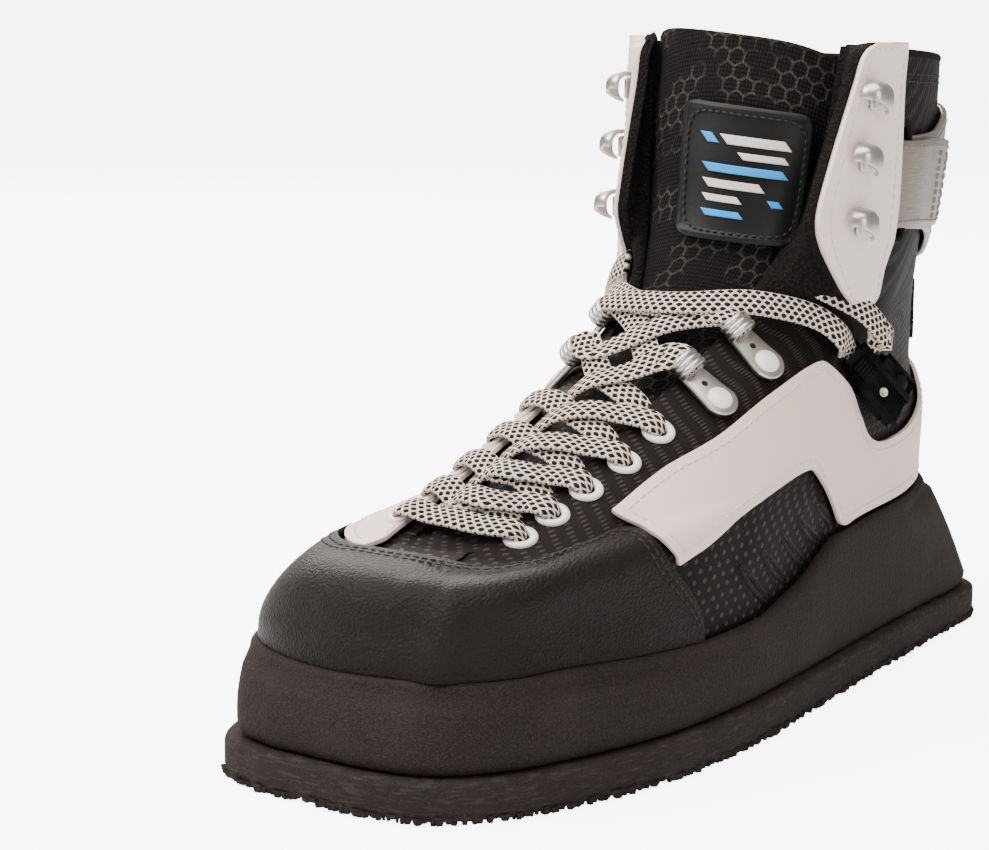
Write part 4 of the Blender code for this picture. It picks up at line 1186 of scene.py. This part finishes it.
def build_fittings():
    """Eyelets, lace rings and lace locks."""
    grommet = ((2.5, -1.6), (2.5, 0.2), (2.9, 0.75), (3.7, 0.9), (4.6, 0.65), (4.9, 0.1), (4.9, -0.2))
    hole = ((2.6, -0.5), (0.01, -0.6))
    for name, side in SIDES:
        for number, (y, off) in enumerate(EYELETS, 1):
            node = "eyelet_%s_%d" % (name, number)
            point, normal = facing_frame(side, off, y, FACING_TOP[side] + 0.25)
            show(node, round_shape(point, normal, grommet, 28), ENAMEL, [node])
            # The dark disc in the eyelet's hole is painted shade.
            show(node + "_hole", round_shape(point, normal, hole), HOLE_SHADE)
        for number, (y, off) in enumerate(LACE_RINGS, 1):
            lace_ring("lace_ring_%s_%d" % (name, number), side, number, y, off)
        lace_lock("lace_lock_" + name, side)


def lace_ring(name, side, number, y, off):
    """Metal drop with an enamelled rivet at its foot and a ribbed loop at its head."""
    point, normal = facing_frame(side, off, y, 0.5)
    up = np.array([-side * 0.75, -0.1, 0.6])
    up = unit(up - normal * np.dot(up, normal))
    wide = np.cross(up, normal)
    bm = bmesh.new()
    corners = []
    for radius, centre, angles in DROP_ARCS:
        for a in map(math.radians, angles):
            corner = point + wide * radius * math.cos(a) + up * (centre + radius * math.sin(a))
            corners.append(bm.verts.new(Vector(corner)))
    rise = bmesh.ops.extrude_face_region(bm, geom=[bm.faces.new(corners)])
    raised = [g for g in rise["geom"] if isinstance(g, bmesh.types.BMVert)]
    bmesh.ops.translate(bm, verts=raised, vec=Vector(normal * 2.0))
    bmesh.ops.recalc_face_normals(bm, faces=bm.faces)
    shapes = [rounded(bm, 0.7, 3)]
    head = point + up * 12.0 + normal * 3.0
    turn = np.linspace(0, 2 * math.pi, 25)[:-1, None]
    for step in (-1.6, 0.2, 2.0):
        loop = head + up * step + 4.1 * (wide * np.cos(turn) + normal * 0.75 * np.sin(turn))
        shapes.append(torus(loop, 1.1))
    show(name, welded(*shapes), METAL, [name])
    disc = ((3.8, 0), (3.8, 0.4), (3.4, 0.75), (0.01, 0.85))
    rivet = round_shape(point + normal * 1.8 - up * 1.0, normal, disc, 24)
    show(name + "_rivet", rivet, ENAMEL)
    # The dark dot on the drop stands for its hole: painted shade.
    dot = ((1.0, 0.0), (0.9, 0.12), (0.01, 0.12))
    hole = round_shape(point + normal * 2.0 + up * 5.2, normal, dot, 14)
    show(name + "_hole", hole, HOLE_SHADE)
    RING_HEADS[side, number] = (head, normal, up)


def torus(loop, radius, around=10):
    """Closed round bar along a loop of points in millimetres."""
    run = unit(np.roll(loop, -1, axis=0) - np.roll(loop, 1, axis=0))
    out = unit(loop - loop.mean(axis=0))
    ring = ringed(loop, out, np.cross(run, out), radius, around)
    return welded(grid_mesh(np.concatenate([ring, ring[:1]])))


LOCK_MOUTHS = {}


def lace_lock(name, side):
    """Plastic lock: a riveted base plate and the slider that grips the lace, with its steel pin."""
    point, normal = spot_frame(on_side(*LOCK_AT, side), 4.0)
    seat, outer = spot_frame(on_side(*LOCK_PLATE, side), 2.0)
    point, normal = point + normal * 1.5, unit(normal + SLIDER_TURN)
    outer = unit(outer + PLATE_TURN)
    way = unit(LOCK_SLOPE - normal * np.dot(LOCK_SLOPE, normal))
    rear = np.cross(way, normal) * side
    body = point + normal * 1.0 - rear * 3.5
    flat_way = unit(LOCK_SLOPE - outer * np.dot(LOCK_SLOPE, outer))
    flat_rear = np.cross(flat_way, outer) * side
    base = seat + outer * 1.2 - flat_way * 2.0 + flat_rear * 1.5
    axes = (way, rear, normal)
    shapes = [box_shape(base, (flat_way, flat_rear, outer), (13, 15, 3), 1.3),
              box_shape(body, axes, (21, 7.2, 5), 2.0, 4)]
    for step in range(5):
        shapes.append(box_shape(body + way * (3.4 + 1.3 * step) + normal * 2.5, axes, (0.6, 5.2, 0.8), 0.25))
    show(name, welded(*shapes), PLASTIC, [name])
    dome = ((2.9, 0), (2.9, 0.5), (2.2, 1.2), (1.2, 1.5), (0.01, 1.6))
    low = base - flat_way * 2 + outer * 1.4
    rivets = [round_shape(low + flat_rear * step, outer, dome) for step in (4.4, -3.4)]
    show(name + "_rivets", welded(*rivets), PLASTIC)
    collar = ((1.5, 0), (1.5, 0.5), (0.9, 0.5), (0.8, 0.1), (0.01, 0.1))
    pin = round_shape(body - way * 4.0 + normal * 2.6, normal, collar, 16)
    show(name + "_pin", pin, METAL)
    LOCK_MOUTHS[side] = (body + way * 11.5, normal, way, rear)


def ribbon(stops, ends=(1.0, 1.0), count=44):
    """Flat lace through stops of (point, normal); ends narrow it."""
    at = np.linspace(0, len(stops) - 1, count)
    points, normals = (spline([stop[k] for stop in stops], at) for k in (0, 1))
    run = unit(np.gradient(points, axis=0))
    aside = unit(np.cross(run, normals))
    normals = np.cross(aside, run)
    first, final = ends
    t, knots = np.linspace(0, 1, count), (0, 0.18, 0.82, 1)
    half = LACE_WIDE / 2 * np.interp(t, knots, (first, 1, 1, final))
    thick = LACE_THICK / 2 * np.interp(t, knots, (1.5 - first * 0.5, 1, 1, 1.5 - final * 0.5))
    turn = np.linspace(0, 2 * math.pi, 21)
    c, s = np.cos(turn), np.sin(turn)
    flat_c, flat_s = np.sign(c) * np.abs(c) ** 0.7, np.sign(s) * np.abs(s) ** 0.75
    ring = points[:, None] + aside[:, None] * (half[:, None] * flat_c)[..., None]
    ring = ring + normals[:, None] * (thick[:, None] * flat_s)[..., None]
    reach = np.broadcast_to(lengths(points[None], 1)[0][:, None], ring.shape[:2])
    chart = np.stack([reach, LACE_WIDE / 2 * np.broadcast_to(flat_c, ring.shape[:2])], axis=-1)
    return welded(grid_mesh(ring, chart=chart), fill=True)


def throat_stop(off, y, lift):
    return spot_frame(over_throat(off, y), lift)


def eyelet_stops(side, number):
    """The last stops of a lace that goes down into an eyelet."""
    y, off = EYELETS[number]
    steps = ((-6.5, -1.6, 2.6), (-2.2, -0.4, 2.7), (-0.2, 0, 1.2), (0.4, 0.1, -0.6))
    return [throat_stop(side * (off + out), y + back, FACING_TOP[side] + rise) for out, back, rise in steps]


def build_laces():
    """The straight bar, the crossings, and the runs through rings and locks."""
    left, right = eyelet_stops(-1, 0), eyelet_stops(1, 0)
    middle = [throat_stop(off, EYELETS[0][0] - 2.5, lift) for off, lift in ((-7, 3.4), (0, 2.6), (7, 2.4))]
    show("lace_bar", ribbon(left[::-1] + middle + right, ends=(0.5, 0.5)), LACE, ["lace_bar"])
    for number in range(CROSSINGS):
        shapes = []
        for _, side in SIDES:
            bow = 4.6 if side > 0 else 2.7
            stops = start_stops(-side, number, bow) + end_stops(side, number + 1, bow)
            start = 1.0 if number < len(EYELETS) else 0.7
            end = 0.5 if number + 1 < len(EYELETS) else 0.7
            shapes.append(ribbon(stops, ends=(start, end)))
            if number == CROSSINGS - 1:
                shapes.append(lace_tail(side))
        node = "lace_cross_%d" % (number + 1)
        show(node, welded(*shapes), LACE, [node])


def start_stops(side, number, bow):
    """Where a lace comes from: under the facing beside an eyelet, or over a ring's head."""
    if number < len(EYELETS):
        y = EYELETS[number][0] + 4.5
        return [throat_stop(side * 14.0, y - 1, -1.6), throat_stop(side * 10.5, y, 0.9),
                throat_stop(side * 4, y + 2, bow - 0.6)]
    head, normal, up = RING_HEADS[side, number - len(EYELETS) + 1]
    return [(head - up * 1.5 + normal * 1.2, normal), (head + up * 3.5 + normal * 1.6, normal),
            throat_stop(side * 8, head[1] - 1.0, bow + 1.4)]


def end_stops(side, number, bow):
    """Where a lace goes: into an eyelet, into a ring's head, or to the lock."""
    if number < len(EYELETS):
        y = EYELETS[number][0]
        return [throat_stop(side * 4, y - 6.5, bow),
                throat_stop(side * 10, y - 3.5, FACING_TOP[side] * 0.7 + 2.9), *eyelet_stops(side, number)]
    if number < CROSSINGS:
        head, normal, up = RING_HEADS[side, number - len(EYELETS) + 1]
        into = [(head + up * step - normal * 1.2, normal) for step in (6, 2, -2.5)]
        return [throat_stop(side * 5, head[1] - 7.5, bow), *into]
    mouth, normal, way, _ = LOCK_MOUTHS[side]
    return [throat_stop(side * 7, 5.5, bow + 2.2), throat_stop(side * 21, 16, bow + 1.2),
            spot_frame(on_side(30.5, 111, side), 4.6), spot_frame(on_side(37, 105.5, side), 5.2),
            (mouth + way * 2, normal), (mouth - way * 2.5, normal)]


def lace_tail(side):
    """The free end: out of the lock, up and in behind the flap's lower end."""
    mouth, normal, way, rear = LOCK_MOUTHS[side]
    path = ((56, 104, 8.0), (47, 112, 7.6), (38, 119, 5.4), (31, 124, 1.6))
    return ribbon([(mouth - way * 6 + rear * 8.5, normal), (mouth - way * 1 + rear * 11 + normal * 2, normal),
                   *(spot_frame(on_side(y, z, side), lift) for y, z, lift in path)])


def area_light(name, at, power, size):
    light = bpy.data.lights.new(name, "AREA")
    light.energy = power
    light.shape = "RECTANGLE"
    light.size, light.size_y = size
    light.color = LIGHT_COLOUR
    lamp = bpy.data.objects.new(name, light)
    lamp.location = at
    lamp.rotation_euler = (Vector(LIGHT_AIM) - Vector(at)).to_track_quat("-Z", "Y").to_euler()
    bpy.context.scene.collection.objects.link(lamp)


def build_floor():
    """White floor with far walls; its glow is for the camera alone, so that it lights nothing."""
    bm = bmesh.new()
    bmesh.ops.create_grid(bm, x_segments=1, y_segments=1, size=FLOOR_REACH)
    walls = bmesh.ops.extrude_edge_only(bm, edges=bm.edges[:])["geom"]
    tops = [g for g in walls if isinstance(g, bmesh.types.BMVert)]
    bmesh.ops.translate(bm, vec=(0, 0, WALL_HIGH), verts=tops)
    mesh = settled(bm)
    white = plain("floor_white", (0.9, 0.93, 0.96), 0.9, shine=0.0)
    tree = white.node_tree
    glow = tree.nodes["Principled BSDF"].inputs
    seen = tree.nodes.new("ShaderNodeLightPath")
    tree.links.new(seen.outputs["Is Camera Ray"], glow["Emission Color"])
    glow["Emission Strength"].default_value = BACKDROP
    mesh.materials.append(white)
    floor = bpy.data.objects.new("floor", mesh)
    bpy.context.scene.collection.objects.link(floor)


def build_studio():
    """Soft lights, a sky that the camera sees as white, and the camera at the photo's angle."""
    world = bpy.data.worlds.new("studio")
    world.use_nodes = True
    tree = world.node_tree
    sky = tree.nodes["Background"]
    sky.inputs["Color"].default_value = SKY_COLOUR
    sky.inputs["Strength"].default_value = SKY_STRENGTH
    backdrop = tree.nodes.new("ShaderNodeBackground")
    backdrop.inputs["Strength"].default_value = BACKDROP
    seen = tree.nodes.new("ShaderNodeLightPath")
    chosen = tree.nodes.new("ShaderNodeMixShader")
    tree.links.new(seen.outputs["Is Camera Ray"], chosen.inputs[0])
    tree.links.new(sky.outputs[0], chosen.inputs[1])
    tree.links.new(backdrop.outputs[0], chosen.inputs[2])
    tree.links.new(chosen.outputs[0], tree.nodes["World Output"].inputs["Surface"])
    bpy.context.scene.world = world
    for row in LIGHTS:
        area_light(*row)
    camera = bpy.data.cameras.new("photo_angle")
    camera.lens = LENS
    camera.sensor_width = 36
    camera.clip_start = 0.01
    viewer = bpy.data.objects.new("photo_angle", camera)
    aim = Vector(CAMERA_WAY).to_track_quat("-Z", "Y").to_matrix()
    turn = aim @ Matrix.Rotation(math.radians(CAMERA_ROLL), 3, "Z")
    viewer.matrix_world = Matrix.Translation(CAMERA_AT) @ turn.to_4x4()
    bpy.context.scene.collection.objects.link(viewer)
    bpy.context.scene.camera = viewer


build_sole()
build_upper()
build_overlays()
build_tongue()
build_badge()
build_strap()
build_flaps()
build_fittings()
build_laces()
sew()
build_floor()
build_studio()
